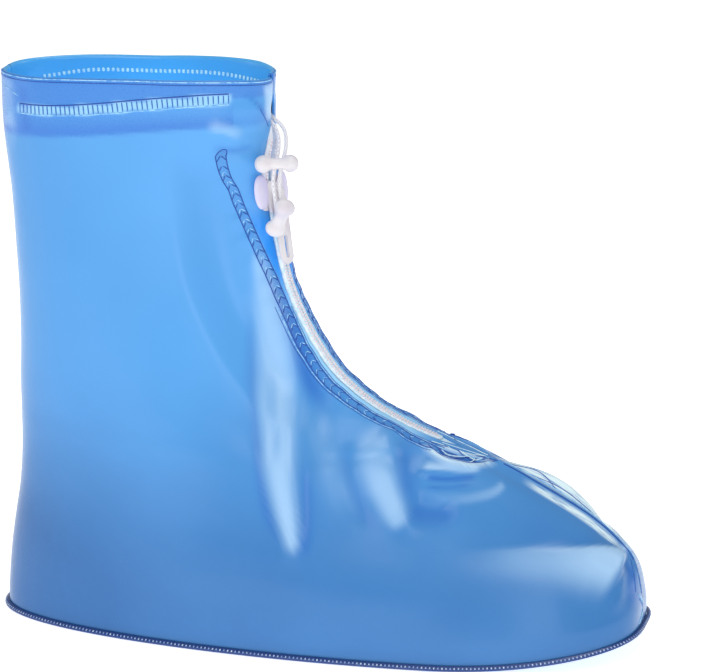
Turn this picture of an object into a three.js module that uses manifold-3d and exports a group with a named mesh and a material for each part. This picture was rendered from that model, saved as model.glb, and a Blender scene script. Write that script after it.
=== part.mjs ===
// A waterproof shoe cover of soft plastic film, standing as it does with its shape filled out.
// Millimetres, +Z up, toe towards +X, origin on the floor under the middle of the sole.
import * as THREE from "three";
import { mergeVertices } from "three/addons/utils/BufferGeometryUtils.js";
import Module from "manifold-3d";

const wasm = await Module();
wasm.setup();

// Overall sizes
const LENGTH = 300; // over the welt, heel to toe
const WIDTH = 113; // over the welt, at the ball of the foot
const HEIGHT = 250; // floor to the top of the collar
const TOE_SPRING = 11; // how far the toe's tip lifts off the floor
const SPRING_START = 62; // where along the sole the lift begins
const SPRING_FADE = 90; // the height at which the lift has died away

// Sheet and seam sizes
const WALL = 1; // film of the upper
const GAP = 0.3; // clearance between neighbouring pieces
const SOLE_THICKNESS = 2;
const WELT_WIDTH = 1.8;
const WELT_HEIGHT = 3.2;
const WELT_ROUND = 0.8;
const BASE_BACK = -(LENGTH / 2 - WELT_WIDTH - GAP);
const BASE_HALF = WIDTH / 2 - WELT_WIDTH - GAP;

// Level outlines of the upper. back and front are where an outline meets the middle plane and half
// is its half width. The powers say how blunt its ends are: 0.5 is the end of an ellipse, less is
// blunter, more is sharper.
const SECTIONS = [
  { z: 0, back: BASE_BACK, front: -BASE_BACK, half: BASE_HALF, backPower: 0.37, frontPower: 0.31 },
  { z: 6, back: BASE_BACK, front: -BASE_BACK, half: BASE_HALF, backPower: 0.37, frontPower: 0.31 },
  { z: 14, back: -147.7, front: 147.6, half: 54.6, backPower: 0.39, frontPower: 0.33 },
  { z: 30, back: -146.5, front: 145, half: 53.6, backPower: 0.42, frontPower: 0.39 },
  { z: 42, back: -145, front: 139, half: 51.5, backPower: 0.44, frontPower: 0.45 },
  { z: 58, back: -142.6, front: 123, half: 48, backPower: 0.46, frontPower: 0.52 },
  { z: 72, back: -141.4, front: 100.5, half: 45.5, backPower: 0.46, frontPower: 0.54 },
  { z: 82, back: -141, front: 80.5, half: 44, backPower: 0.46, frontPower: 0.55 },
  { z: 90, back: -140.9, front: 57, half: 43, backPower: 0.46, frontPower: 0.55 },
  { z: 97, back: -140.8, front: 39.6, half: 42, backPower: 0.46, frontPower: 0.55 },
  { z: 108, back: -140.6, front: 22.6, half: 41, backPower: 0.46, frontPower: 0.6 },
  { z: 128, back: -139.7, front: 5, half: 39.5, backPower: 0.46, frontPower: 0.66 },
  { z: 150, back: -139.9, front: -7.2, half: 37.5, backPower: 0.46, frontPower: 0.7 },
  { z: 167, back: -140.7, front: -13, half: 36, backPower: 0.45, frontPower: 0.7 },
  { z: 195, back: -142.4, front: -18.2, half: 34, backPower: 0.43, frontPower: 0.66 },
  { z: 226, back: -145.8, front: -21.8, half: 32.5, backPower: 0.4, frontPower: 0.5 },
  { z: HEIGHT, back: -146, front: -21.6, half: 32, backPower: 0.38, frontPower: 0.42 },
];

// Soft folds of the film, as lines in side view from one end to the other, raised outwards by height
// and fading over width. A negative height is a dent.
const FOLDS = [
  { name: "ankle", fromX: -24, fromZ: 182, toX: -5, toZ: 44, width: 10, height: 4.2 },
  { name: "ankle_hollow", fromX: 14, fromZ: 138, toX: 16, toZ: 62, width: 12, height: -2.4 },
  { name: "instep", fromX: 32, fromZ: 102, toX: 48, toZ: 56, width: 10, height: 2.8 },
  { name: "vamp_hollow", fromX: 58, fromZ: 76, toX: 100, toZ: 66, width: 8, height: -2.2 },
  { name: "toe", fromX: 100, fromZ: 44, toX: 140, toZ: 46, width: 9, height: 1.6 },
  { name: "collar_pull", fromX: -46, fromZ: 222, toX: -26, toZ: 212, width: 7, height: -2 },
];
const PLAIN_SIDE_SHARE = 0.5; // the folds of the left side against those of the right

// Collar hem: the film turns in over the top edge and runs down inside. drop is the depth below the
// top edge and clear the room between the wall and the turned-in layer, which widens into the
// drawstring's tunnel.
const HEM = [
  { drop: 1.6, clear: 0.6 },
  { drop: 10.5, clear: 0.4 },
  { drop: 13.6, clear: 1.8 },
  { drop: 17, clear: 2.6 },
  { drop: 20.4, clear: 1.8 },
  { drop: 23.6, clear: 0.4 },
];
const TUNNEL_DROP = 17;
const TUNNEL_CLEAR = 2.6;

// Zip at the front, from above the toe to just under the hem
const ZIP_BOTTOM = 91;
const ZIP_TOP = 223;
const SLOT = { half: 5, shut: 84, open: 90 }; // the opening between the panels, and where it shuts
const TAPE_END = 86;
const TAPE_GAP = 0.5; // under the panel
const TAPE_THICKNESS = 0.9;
const COIL_WIDTH = 2.6;
const COIL_RISE = 1.9; // above the outside of the panels
const SLIDER_Z = 199;
const SLIDER_SPREAD = 1.7; // how far each coil stands off the middle above the slider
const SPREAD_RUN = 14; // height over which the coils part

// The zip stands turned towards the right side: the front of each outline swings about a point
// behind it.
const TWIST = { degrees: 26, depth: 18, reach: 44, from: 86, full: 124, ease: 206, end: 233 };

// Zip slider and pull
const PLATE = { halfTop: 6.6, halfBottom: 4.4, low: -7, high: 7, shoulder: 3.2, notch: 5.4 };
const PLATE_THICKNESS = 1.6;
const FLANGE = { across: 5.9, thickness: 1.1, low: -6, high: 2 };
const POST = { half: 0.9, low: 4, high: 6.2 };
const INNER_PLATE = { half: 4.2, low: -5.5, high: 6.5, thickness: 1.1 };
const BAIL = { half: 1.1, reach: 4, rise: 3, bore: 2.7, boreRise: 1.9 };
const PIN = { radius: 0.75, height: 0.95, place: -1.75 };
const PULL = { half: 3.7, length: 29, thickness: 1.5 };
const PULL_EYE = { half: 1.6, length: 4.6 };
const PULL_SLOT = { half: 1.1, low: 25, high: 17 };
const PULL_REST_TILT = 2; // degrees: the pull leans on the zip below the slider

// Drawstring and its two toggles
const CORD_DIAMETER = 1.8;
const CORD_SIDES = 8;
const TUNNEL_STEPS = 56;
const TAIL_STEPS = 24;
const TOGGLE_HOLE = CORD_DIAMETER + 2 * GAP;
const TOGGLE_PROFILE = [
  { along: -9.6, radius: 0 },
  { along: -9.2, radius: 2.2 },
  { along: -7.6, radius: 3.6 },
  { along: -5.4, radius: 4 },
  { along: -3.2, radius: 3.5 },
  { along: -1.4, radius: 3 },
  { along: 1.4, radius: 3 },
  { along: 3.2, radius: 3.6 },
  { along: 5.4, radius: 4 },
  { along: 7.6, radius: 3.6 },
  { along: 9.2, radius: 2.2 },
  { along: 9.6, radius: 0 },
];
const TOGGLE_SIDES = 10;
// Toggles and tails are placed from the zip's middle line at a height: out in front of it and across
// to the left.
const TOGGLES = {
  upper: { z: 215, out: 9, across: -7.5, axisOut: 0.755, axisAcross: 0.655, axisUp: 0 },
  lower: { z: 192, out: 12, across: -9.2, axisOut: 0.6, axisAcross: 0, axisUp: 0.8 },
};
// Each tail of the drawstring, from the end of its tunnel out through the collar's split and down to
// the toggles.
const TAILS = {
  right: [
    { z: 233, out: -2.3, across: -4.7 },
    { z: 232.63, out: -1.99, across: -2.9 },
    { z: 231.62, out: -1.14, across: -1.58 },
    { z: 230.24, out: 0.02, across: -1.1 },
    { z: 227.3, out: 2.4, across: -1.5 },
    { z: 224, out: 4.6, across: -3.3 },
    { z: 220, out: 6.8, across: -5.9 },
    { z: 215, out: 8.8, across: -7.7 },
    { z: 208, out: 10.4, across: -9 },
    { z: 200, out: 11.6, across: -10 },
    { z: 192, out: 11.7, across: -10.25 },
  ],
  left: [
    { z: 233, out: -2.3, across: 4.7 },
    { z: 232.76, out: -1.88, across: 2.9 },
    { z: 232.1, out: -0.74, across: 1.58 },
    { z: 231.2, out: 0.82, across: 1.1 },
    { z: 228.9, out: 4, across: 0.7 },
    { z: 225.8, out: 6.6, across: -0.9 },
    { z: 221, out: 9, across: -3.6 },
    { z: 215, out: 10.9, across: -5.9 },
    { z: 208, out: 12.2, across: -7 },
    { z: 200, out: 12.9, across: -7.9 },
    { z: 192.4, out: 12.3, across: -8.15 },
  ],
};

// Mesh resolution
const RIBS = { right: 36, left: 22 };
const LEVELS = { foot: 7, tapeEnd: 1, zip: 10, hem: 2 };
const TAPE_RIBS = 3;
const SOLE_STEPS = 32;
const SLOPE_STEP = 0.002;
const FLAT = { bevelEnabled: false, curveSegments: 6 };

const MATERIALS = {
  film: new THREE.MeshStandardMaterial({ color: 0x4f97e6, roughness: 0.3, metalness: 0 }),
  sole: new THREE.MeshStandardMaterial({ color: 0x3f78c4, roughness: 0.5, metalness: 0 }),
  welt: new THREE.MeshStandardMaterial({ color: 0x335fb0, roughness: 0.45, metalness: 0 }),
  tape: new THREE.MeshStandardMaterial({ color: 0xa9d6f8, roughness: 0.4, metalness: 0 }),
  zip: new THREE.MeshStandardMaterial({ color: 0xf3eff3, roughness: 0.5, metalness: 0 }),
  cord: new THREE.MeshStandardMaterial({ color: 0xf1eef1, roughness: 0.7, metalness: 0 }),
  toggle: new THREE.MeshStandardMaterial({ color: 0xefeaea, roughness: 0.4, metalness: 0 }),
};

const clamp01 = (t) => Math.min(1, Math.max(0, t));
const lerp = (a, b, t) => a + (b - a) * t;
const smooth = (from, to, value) => {
  const t = clamp01((value - from) / (to - from));
  return t * t * (3 - 2 * t);
};
const vec = (x, y, z) => new THREE.Vector3(x, y, z);
const range = (count) => Array.from({ length: count }, (_, i) => i);

// The outline at a height: a smooth curve through each column of the table.
function section(z) {
  const last = SECTIONS.length - 1;
  const above = SECTIONS.findIndex((row) => row.z > z);
  const i = above < 0 ? last - 1 : Math.max(0, above - 1);
  const [p, a, b, n] = [-1, 0, 1, 2].map((k) => SECTIONS[Math.min(last, Math.max(0, i + k))]);
  const step = b.z - a.z;
  const t = clamp01((z - a.z) / step);
  const blend = (key) => {
    const startSlope = (b[key] - p[key]) / (b.z - p.z);
    const endSlope = (n[key] - a[key]) / (n.z - a.z);
    const t2 = t * t;
    const t3 = t2 * t;
    return (
      (2 * t3 - 3 * t2 + 1) * a[key] +
      (t3 - 2 * t2 + t) * step * startSlope +
      (3 * t2 - 2 * t3) * b[key] +
      (t3 - t2) * step * endSlope
    );
  };
  return {
    back: blend("back"),
    front: blend("front"),
    half: blend("half"),
    backPower: blend("backPower"),
    frontPower: blend("frontPower"),
  };
}

// Half the opening between the panels at the front: shut over the toe, open from the zip's foot up.
const slotHalf = (z) => lerp(GAP / 2, SLOT.half, smooth(SLOT.shut, SLOT.open, z));

// How far the toe's spring lifts a point.
function lift(x, z) {
  const along = clamp01((x - SPRING_START) / (LENGTH / 2 - SPRING_START));
  return TOE_SPRING * along * along * (1 - clamp01(z / SPRING_FADE));
}

// How far the folds push the film outwards at a point in side view.
function foldHeight(x, z) {
  return FOLDS.reduce((sum, f) => {
    const run = vec(f.toX - f.fromX, 0, f.toZ - f.fromZ);
    const from = vec(x - f.fromX, 0, z - f.fromZ);
    const along = clamp01(from.dot(run) / run.lengthSq());
    const off = from.addScaledVector(run, -along).length() / f.width;
    return sum + f.height * Math.exp(-off * off);
  }, 0);
}

// From the straight shape to the standing one: the zip's twist and the toe's spring.
function pose(point) {
  const { x, y, z } = point;
  const front = section(z).front;
  const share = smooth(TWIST.from, TWIST.full, z) * (1 - smooth(TWIST.ease, TWIST.end, z));
  const nearness = smooth(front - TWIST.reach, front - 4, x);
  const angle = THREE.MathUtils.degToRad(TWIST.degrees) * share * nearness;
  const pivot = front - TWIST.depth;
  const [ahead, side] = [x - pivot, y];
  return vec(
    pivot + ahead * Math.cos(angle) + side * Math.sin(angle),
    side * Math.cos(angle) - ahead * Math.sin(angle),
    z + lift(x, z),
  );
}

// A point of the upper's outer skin before it is posed. turn runs from 0 at the back seam to 1 at
// the front edge, and side is -1 for the right panel and 1 for the left one.
function skin(side, turn, z) {
  const s = section(z);
  const u = (1 - Math.cos(Math.PI * turn)) / 2;
  const widest = s.backPower / (s.backPower + s.frontPower);
  const peak = widest ** s.backPower * (1 - widest) ** s.frontPower;
  const swell = (u ** s.backPower * (1 - u) ** s.frontPower) / peak;
  const edge = GAP / 2 + (slotHalf(z) - GAP / 2) * smooth(0.6, 1, turn);
  const x = lerp(s.back, s.front, u);
  const share = side < 0 ? 1 : PLAIN_SIDE_SHARE;
  const fold = share * foldHeight(x, z) * clamp01(swell * 1.6 - 0.3);
  return vec(x, side * (edge + s.half * swell + fold), z);
}

// The skin's outward normal there.
function skinNormal(side, turn, z) {
  const t0 = Math.max(0, turn - SLOPE_STEP);
  const t1 = Math.min(1, turn + SLOPE_STEP);
  const z0 = Math.max(0, z - 0.5);
  const z1 = Math.min(HEIGHT, z + 0.5);
  const across = skin(side, t1, z).sub(skin(side, t0, z));
  const upward = skin(side, turn, z1).sub(skin(side, turn, z0));
  return across.cross(upward).multiplyScalar(-side).normalize();
}

// A posed point below the skin by some depth along the normal.
function under(side, turn, z, depth) {
  return pose(skin(side, turn, z).addScaledVector(skinNormal(side, turn, z), -depth));
}

// Heights from low to high, closer together where the front slopes fast.
function levelHeights(low, high, count) {
  const FINE = 400;
  const SLOPE_SHARE = 0.55;
  const heights = range(FINE + 1).map((i) => lerp(low, high, i / FINE));
  const sums = [0];
  for (let i = 1; i <= FINE; i++) {
    const run = section(heights[i]).front - section(heights[i - 1]).front;
    sums.push(sums[i - 1] + Math.hypot(heights[i] - heights[i - 1], SLOPE_SHARE * run));
  }
  const share = (k) => (sums[FINE] * k) / count - 1e-9;
  return range(count + 1).map((k) => heights[sums.findIndex((sum) => sum >= share(k))]);
}

// The heights every piece along the front shares, so that neighbours keep their clearance.
const ZIP_HEIGHTS = levelHeights(ZIP_BOTTOM, ZIP_TOP, LEVELS.zip);
const TAPE_HEIGHTS = [...levelHeights(TAPE_END, ZIP_BOTTOM, LEVELS.tapeEnd).slice(0, -1), ...ZIP_HEIGHTS];
const PANEL_HEIGHTS = [
  ...levelHeights(SOLE_THICKNESS + GAP, TAPE_END, LEVELS.foot).slice(0, -1),
  ...TAPE_HEIGHTS,
  ...levelHeights(ZIP_TOP, HEIGHT - HEM[0].drop, LEVELS.hem).slice(1),
];

// A closed geometry from vertices and triangles, with its faces turned outwards.
function closedGeometry(points, triangles) {
  const cone = ([a, b, c]) => points[a].dot(vec().crossVectors(points[b], points[c]));
  const volume = triangles.reduce((sum, triangle) => sum + cone(triangle), 0);
  const index = triangles.flatMap(([a, b, c]) => (volume < 0 ? [a, c, b] : [a, b, c]));
  return new THREE.BufferGeometry().setFromPoints(points).setIndex(index);
}

// A sheet with thickness between two grids of points of the same size.
function thickSheet(outside, inside) {
  const rows = outside.length;
  const columns = outside[0].length;
  const points = [...outside.flat(), ...inside.flat()];
  const at = (layer, i, k) => layer * rows * columns + i * columns + k;
  const triangles = [];
  const quad = (a, b, c, d) => triangles.push([a, b, c], [a, c, d]);
  for (let i = 0; i + 1 < rows; i++)
    for (let k = 0; k + 1 < columns; k++) {
      quad(at(0, i, k), at(0, i + 1, k), at(0, i + 1, k + 1), at(0, i, k + 1));
      quad(at(1, i, k), at(1, i, k + 1), at(1, i + 1, k + 1), at(1, i + 1, k));
    }
  for (let k = 0; k + 1 < columns; k++) {
    quad(at(0, 0, k), at(0, 0, k + 1), at(1, 0, k + 1), at(1, 0, k));
    quad(at(0, rows - 1, k), at(1, rows - 1, k), at(1, rows - 1, k + 1), at(0, rows - 1, k + 1));
  }
  for (let i = 0; i + 1 < rows; i++) {
    quad(at(0, i, 0), at(1, i, 0), at(1, i + 1, 0), at(0, i + 1, 0));
    const last = columns - 1;
    quad(at(0, i, last), at(0, i + 1, last), at(1, i + 1, last), at(1, i, last));
  }
  return closedGeometry(points, triangles);
}

// A body through a row of convex loops with as many points each. It ends in flat caps, or joins up
// as a ring.
function loft(loops, ring = false) {
  const size = loops[0].length;
  const points = loops.flat();
  const triangles = [];
  const spans = ring ? loops.length : loops.length - 1;
  for (let i = 0; i < spans; i++)
    for (let k = 0; k < size; k++) {
      const [a, b] = [i * size + k, i * size + ((k + 1) % size)];
      const next = ((i + 1) % loops.length) * size;
      const [c, d] = [next + ((k + 1) % size), next + k];
      triangles.push([a, b, c], [a, c, d]);
    }
  const end = (loops.length - 1) * size;
  if (!ring)
    for (let k = 1; k + 1 < size; k++) triangles.push([0, k + 1, k], [end, end + k, end + k + 1]);
  return closedGeometry(points, triangles);
}

// Solids for joining and cutting
function solidOf(geometry) {
  const bare = new THREE.BufferGeometry();
  bare.setAttribute("position", geometry.getAttribute("position").clone());
  if (geometry.index) bare.setIndex(geometry.index.clone());
  const merged = mergeVertices(bare, 1e-4);
  return new wasm.Manifold(
    new wasm.Mesh({
      numProp: 3,
      vertProperties: merged.getAttribute("position").array,
      triVerts: new Uint32Array(merged.index.array),
    }),
  );
}

function geometryOf(solid) {
  const made = solid.getMesh();
  return new THREE.BufferGeometry()
    .setAttribute("position", new THREE.BufferAttribute(new Float32Array(made.vertProperties), 3))
    .setIndex(new THREE.BufferAttribute(new Uint32Array(made.triVerts), 1));
}

const joined = (geometries) => geometryOf(geometries.map(solidOf).reduce((sum, solid) => sum.add(solid)));
const cut = (geometry, tools) =>
  geometryOf(tools.map(solidOf).reduce((left, tool) => left.subtract(tool), solidOf(geometry)));

function node(name, geometry, material) {
  const mesh = new THREE.Mesh(geometry, material);
  mesh.name = name;
  return mesh;
}

// Side panel with its turned-in hem: the outer face of the film and its inner face, rib by rib from
// back to front.
function sidePanel(side, ribs) {
  const outside = [];
  const inside = [];
  for (const i of range(ribs + 1)) {
    const turn = i / ribs;
    const hem = (depth) => HEM.map((row) => under(side, turn, HEIGHT - row.drop, depth + row.clear));
    outside.push([
      ...PANEL_HEIGHTS.map((z) => under(side, turn, z, 0)),
      under(side, turn, HEIGHT, WALL / 2),
      under(side, turn, HEIGHT, WALL + HEM[0].clear + WALL / 2),
      ...hem(2 * WALL),
    ]);
    inside.push([
      ...PANEL_HEIGHTS.map((z) => under(side, turn, z, WALL)),
      under(side, turn, HEIGHT - WALL, WALL),
      under(side, turn, HEIGHT - WALL, WALL + HEM[0].clear),
      ...hem(WALL),
    ]);
  }
  return thickSheet(outside, inside);
}

// The base outline, heel to toe along one side, and its outward direction in plan.
function baseStation(side, turn) {
  const point = skin(side, turn, 0).setZ(0);
  const normal = skinNormal(side, turn, 1).setZ(0).normalize();
  return { point, normal };
}

// Sole: a flat sheet whose toe lifts with the spring.
function sole() {
  const turns = range(SOLE_STEPS - 1).map((i) => (i + 1) / SOLE_STEPS);
  const layer = (height) =>
    turns.map((turn) =>
      [-1, 0, 1].map((side) => {
        const { point } = baseStation(side || 1, turn);
        return vec(point.x, side * Math.abs(point.y), height + lift(point.x, height));
      }),
    );
  return thickSheet(layer(SOLE_THICKNESS), layer(0));
}

// Welt: the welded rim that joins the upper and the sole, all the way round.
function soleWelt() {
  const profile = [
    [GAP, 0],
    [GAP + WELT_WIDTH - WELT_ROUND, 0],
    [GAP + WELT_WIDTH, WELT_ROUND],
    [GAP + WELT_WIDTH, WELT_HEIGHT - WELT_ROUND],
    [GAP + WELT_WIDTH - WELT_ROUND, WELT_HEIGHT],
    [GAP, WELT_HEIGHT],
  ];
  const turns = range(SOLE_STEPS + 1).map((i) => i / SOLE_STEPS);
  const stations = [
    ...turns.map((turn) => baseStation(-1, turn)),
    ...turns.map((turn) => baseStation(1, 1 - turn)),
  ];
  const loops = stations.map(({ point, normal }) =>
    profile.map(([out, height]) => {
      const at = point.clone().addScaledVector(normal, out);
      return at.setZ(height + lift(at.x, height));
    }),
  );
  return loft(loops, true);
}

// A point in the opening between the panels, by its distance from the zip's middle.
function slotPoint(side, across, z, depth) {
  const edge = skin(side, 1, z).addScaledVector(skinNormal(side, 1, z), -depth);
  return pose(edge.setY(side * across));
}

// How far the zip's inner edges stand off the middle: together below the slider, parting above it.
const spread = (z) => GAP / 2 + SLIDER_SPREAD * smooth(SLIDER_Z - SPREAD_RUN / 2, SLIDER_Z + POST.low, z);

// Zip tape: the strip that carries one row of the coil and runs back behind the panel's front edge.
function zipTape(side, ribs) {
  const layer = (depth) =>
    TAPE_HEIGHTS.map((z) => [
      slotPoint(side, spread(z), z, depth),
      ...range(TAPE_RIBS + 1).map((i) => under(side, 1 - i / ribs, z, depth)),
    ]);
  const top = WALL + TAPE_GAP;
  return thickSheet(layer(top), layer(top + TAPE_THICKNESS));
}

// One row of the zip's coil, as a rounded bead along its tape.
function zipCoil(side) {
  const bead = [
    { across: 0, depth: WALL },
    { across: 1, depth: WALL },
    { across: 1, depth: -COIL_RISE * 0.45 },
    { across: 0.72, depth: -COIL_RISE * 0.85 },
    { across: 0, depth: -COIL_RISE },
  ];
  const loops = ZIP_HEIGHTS.map((z) =>
    bead.map(({ across, depth }) => slotPoint(side, spread(z) + across * COIL_WIDTH, z, depth)),
  );
  return loft(loops);
}

// A spot by the zip's middle line at a height: out in front of it and across to the left.
function zipSpot({ z, out, across }) {
  return pose(vec(section(z).front + out, across, z));
}

// Placement of the slider on the zip: x across, y up along the zip, z outwards.
function sliderFrame() {
  const frame = new THREE.Group();
  const middle = zipSpot({ z: SLIDER_Z, out: 0, across: 0 });
  const across = zipSpot({ z: SLIDER_Z, out: 0, across: 1 }).sub(middle).normalize();
  const below = zipSpot({ z: SLIDER_Z - 6, out: 0, across: 0 });
  const along = zipSpot({ z: SLIDER_Z + 6, out: 0, across: 0 }).sub(below).normalize();
  along.addScaledVector(across, -along.dot(across)).normalize();
  const basis = new THREE.Matrix4().makeBasis(across, along, across.clone().cross(along));
  frame.quaternion.setFromRotationMatrix(basis);
  frame.position.copy(middle);
  return frame;
}

const PLATE_FLOOR = COIL_RISE + GAP;
const PLATE_TOP = PLATE_FLOOR + PLATE_THICKNESS;

// Zip slider: a shouldered plate over the coils, a plate behind the tapes, a post between them and a
// bail on top.
function zipSlider() {
  const p = PLATE;
  const outline = new THREE.Shape();
  outline.moveTo(-p.halfBottom, p.low);
  outline.lineTo(p.halfBottom, p.low);
  outline.lineTo(p.halfTop, p.high - 2 * p.shoulder);
  outline.quadraticCurveTo(p.halfTop, p.high, p.halfTop - p.shoulder, p.high);
  outline.lineTo(0, p.notch);
  outline.lineTo(-p.halfTop + p.shoulder, p.high);
  outline.quadraticCurveTo(-p.halfTop, p.high, -p.halfTop, p.high - 2 * p.shoulder);
  outline.closePath();
  const top = new THREE.ExtrudeGeometry(outline, { depth: PLATE_THICKNESS, ...FLAT });
  top.translate(0, 0, PLATE_FLOOR);
  const overlap = 0.2;
  const innerTop = -(WALL + TAPE_GAP + TAPE_THICKNESS + GAP);
  const flangeHeight = PLATE_FLOOR - GAP + overlap;
  const middle = ({ low, high }) => (low + high) / 2;
  const length = ({ low, high }) => high - low;
  const flange = new THREE.BoxGeometry(FLANGE.thickness, length(FLANGE), flangeHeight);
  flange.translate(0, middle(FLANGE), GAP + flangeHeight / 2);
  const flanges = [-1, 1].map((side) => flange.clone().translate(side * FLANGE.across, 0, 0));
  const postHeight = PLATE_FLOOR - innerTop + 2 * overlap;
  const post = new THREE.BoxGeometry(2 * POST.half, length(POST), postHeight);
  post.translate(0, middle(POST), innerTop - overlap + postHeight / 2);
  const inner = new THREE.BoxGeometry(2 * INNER_PLATE.half, length(INNER_PLATE), INNER_PLATE.thickness);
  inner.translate(0, middle(INNER_PLATE), innerTop - INNER_PLATE.thickness / 2);
  return joined([top, ...flanges, post, inner, bail(overlap)]);
}

// The bail that holds the pull: a bridge along the slider with room for the pull's pin under it.
function bail(overlap) {
  const b = BAIL;
  const side = new THREE.Shape();
  side.moveTo(-b.reach, -overlap);
  side.quadraticCurveTo(-b.reach, b.rise, -b.reach / 2, b.rise);
  side.lineTo(b.reach / 2, b.rise);
  side.quadraticCurveTo(b.reach, b.rise, b.reach, -overlap);
  side.lineTo(b.bore, -overlap);
  side.lineTo(b.bore, b.boreRise);
  side.lineTo(-b.bore, b.boreRise);
  side.lineTo(-b.bore, -overlap);
  side.closePath();
  const bridge = new THREE.ExtrudeGeometry(side, { depth: 2 * b.half, ...FLAT });
  bridge.translate(0, 0, -b.half);
  bridge.applyMatrix4(new THREE.Matrix4().makeBasis(vec(0, 1, 0), vec(0, 0, 1), vec(1, 0, 0)));
  return bridge.translate(0, 0, PLATE_TOP);
}

// Zip pull: a flat tab with a slot, hung by a round pin under the bail. Its own origin is on the
// pin's axis.
function zipPull() {
  const p = PULL;
  const tab = new THREE.Shape();
  tab.moveTo(-p.half, 0);
  tab.lineTo(-p.half, -p.length + p.half);
  tab.absarc(0, -p.length + p.half, p.half, Math.PI, 2 * Math.PI, false);
  tab.lineTo(p.half, 0);
  tab.closePath();
  const eye = new THREE.Path();
  eye.moveTo(-PULL_EYE.half, -PIN.radius / 2);
  eye.lineTo(PULL_EYE.half, -PIN.radius / 2);
  eye.lineTo(PULL_EYE.half, -PULL_EYE.length);
  eye.lineTo(-PULL_EYE.half, -PULL_EYE.length);
  eye.closePath();
  const slot = new THREE.Path();
  slot.moveTo(PULL_SLOT.half, -PULL_SLOT.high);
  slot.absarc(0, -PULL_SLOT.high, PULL_SLOT.half, 0, Math.PI, false);
  slot.absarc(0, -PULL_SLOT.low, PULL_SLOT.half, Math.PI, 2 * Math.PI, false);
  slot.closePath();
  tab.holes.push(eye, slot);
  const flat = new THREE.ExtrudeGeometry(tab, { depth: p.thickness, ...FLAT });
  flat.translate(0, 0, -p.thickness / 2);
  const pin = new THREE.CylinderGeometry(PIN.radius, PIN.radius, 2 * p.half, 10).rotateZ(Math.PI / 2);
  return joined([flat, pin]);
}

// A round cord along a curve.
function cordAlong(curve, diameter, steps) {
  const round = new THREE.Shape();
  range(CORD_SIDES).forEach((k) => {
    const angle = (2 * Math.PI * k) / CORD_SIDES;
    const [x, y] = [(Math.cos(angle) * diameter) / 2, (Math.sin(angle) * diameter) / 2];
    if (k === 0) round.moveTo(x, y);
    else round.lineTo(x, y);
  });
  round.closePath();
  return new THREE.ExtrudeGeometry(round, { steps, extrudePath: curve, bevelEnabled: false });
}

// The drawstring inside its tunnel: once round the collar from front edge to front edge.
function tunnelCurve() {
  const z = HEIGHT - TUNNEL_DROP;
  const depth = WALL + TUNNEL_CLEAR / 2;
  const turns = range(TUNNEL_STEPS / 2 + 1).map((i) => i / (TUNNEL_STEPS / 2));
  const half = (side) => turns.map((turn) => under(side, 1 - turn, z, depth));
  const [right, left] = [half(-1), half(1).reverse()];
  const seam = right.pop().setY(0);
  left.shift();
  return new THREE.CatmullRomCurve3([...right, seam, ...left], false, "centripetal");
}

const tail = (rows) => cordAlong(tailCurve(rows), CORD_DIAMETER, TAIL_STEPS);
const tailCurve = (rows) => new THREE.CatmullRomCurve3(rows.map(zipSpot), false, "centripetal");

// A toggle of the drawstring: a bow-shaped moulding with the two tails through its waist.
function toggle(place) {
  const profile = TOGGLE_PROFILE.map((row) => new THREE.Vector2(row.radius, row.along));
  const body = new THREE.LatheGeometry(profile, TOGGLE_SIDES);
  const middle = zipSpot(place);
  const tip = zipSpot({
    z: place.z + place.axisUp,
    out: place.out + place.axisOut,
    across: place.across + place.axisAcross,
  });
  const axis = tip.sub(middle).normalize();
  body.applyQuaternion(new THREE.Quaternion().setFromUnitVectors(vec(0, 1, 0), axis));
  body.translate(middle.x, middle.y, middle.z);
  const holes = Object.values(TAILS).map((rows) => cordAlong(tailCurve(rows), TOGGLE_HOLE, TAIL_STEPS));
  return cut(body, holes);
}

const cover = new THREE.Group();
cover.add(
  node("sole", sole(), MATERIALS.sole),
  node("sole_welt", soleWelt(), MATERIALS.welt),
  node("side_panel_right", sidePanel(-1, RIBS.right), MATERIALS.film),
  node("side_panel_left", sidePanel(1, RIBS.left), MATERIALS.film),
  node("zip_tape_right", zipTape(-1, RIBS.right), MATERIALS.tape),
  node("zip_tape_left", zipTape(1, RIBS.left), MATERIALS.tape),
  node("zip_coil_right", zipCoil(-1), MATERIALS.zip),
  node("zip_coil_left", zipCoil(1), MATERIALS.zip),
);

const slider = sliderFrame();
const pull = node("zip_pull", zipPull(), MATERIALS.zip);
pull.position.set(0, PIN.place, PLATE_TOP + PIN.height);
pull.rotation.x = -THREE.MathUtils.degToRad(PULL_REST_TILT);
slider.add(node("zip_slider", zipSlider(), MATERIALS.zip), pull);
cover.add(slider);

cover.add(
  node("drawstring", cordAlong(tunnelCurve(), CORD_DIAMETER, TUNNEL_STEPS), MATERIALS.cord),
  node("drawstring_tail_right", tail(TAILS.right), MATERIALS.cord),
  node("drawstring_tail_left", tail(TAILS.left), MATERIALS.cord),
  node("cord_toggle_upper", toggle(TOGGLES.upper), MATERIALS.toggle),
  node("cord_toggle_lower", toggle(TOGGLES.lower), MATERIALS.toggle),
);

export default cover;
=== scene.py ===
"""Shoe cover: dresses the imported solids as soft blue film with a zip, a drawstring and welded seams."""
import math

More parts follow.
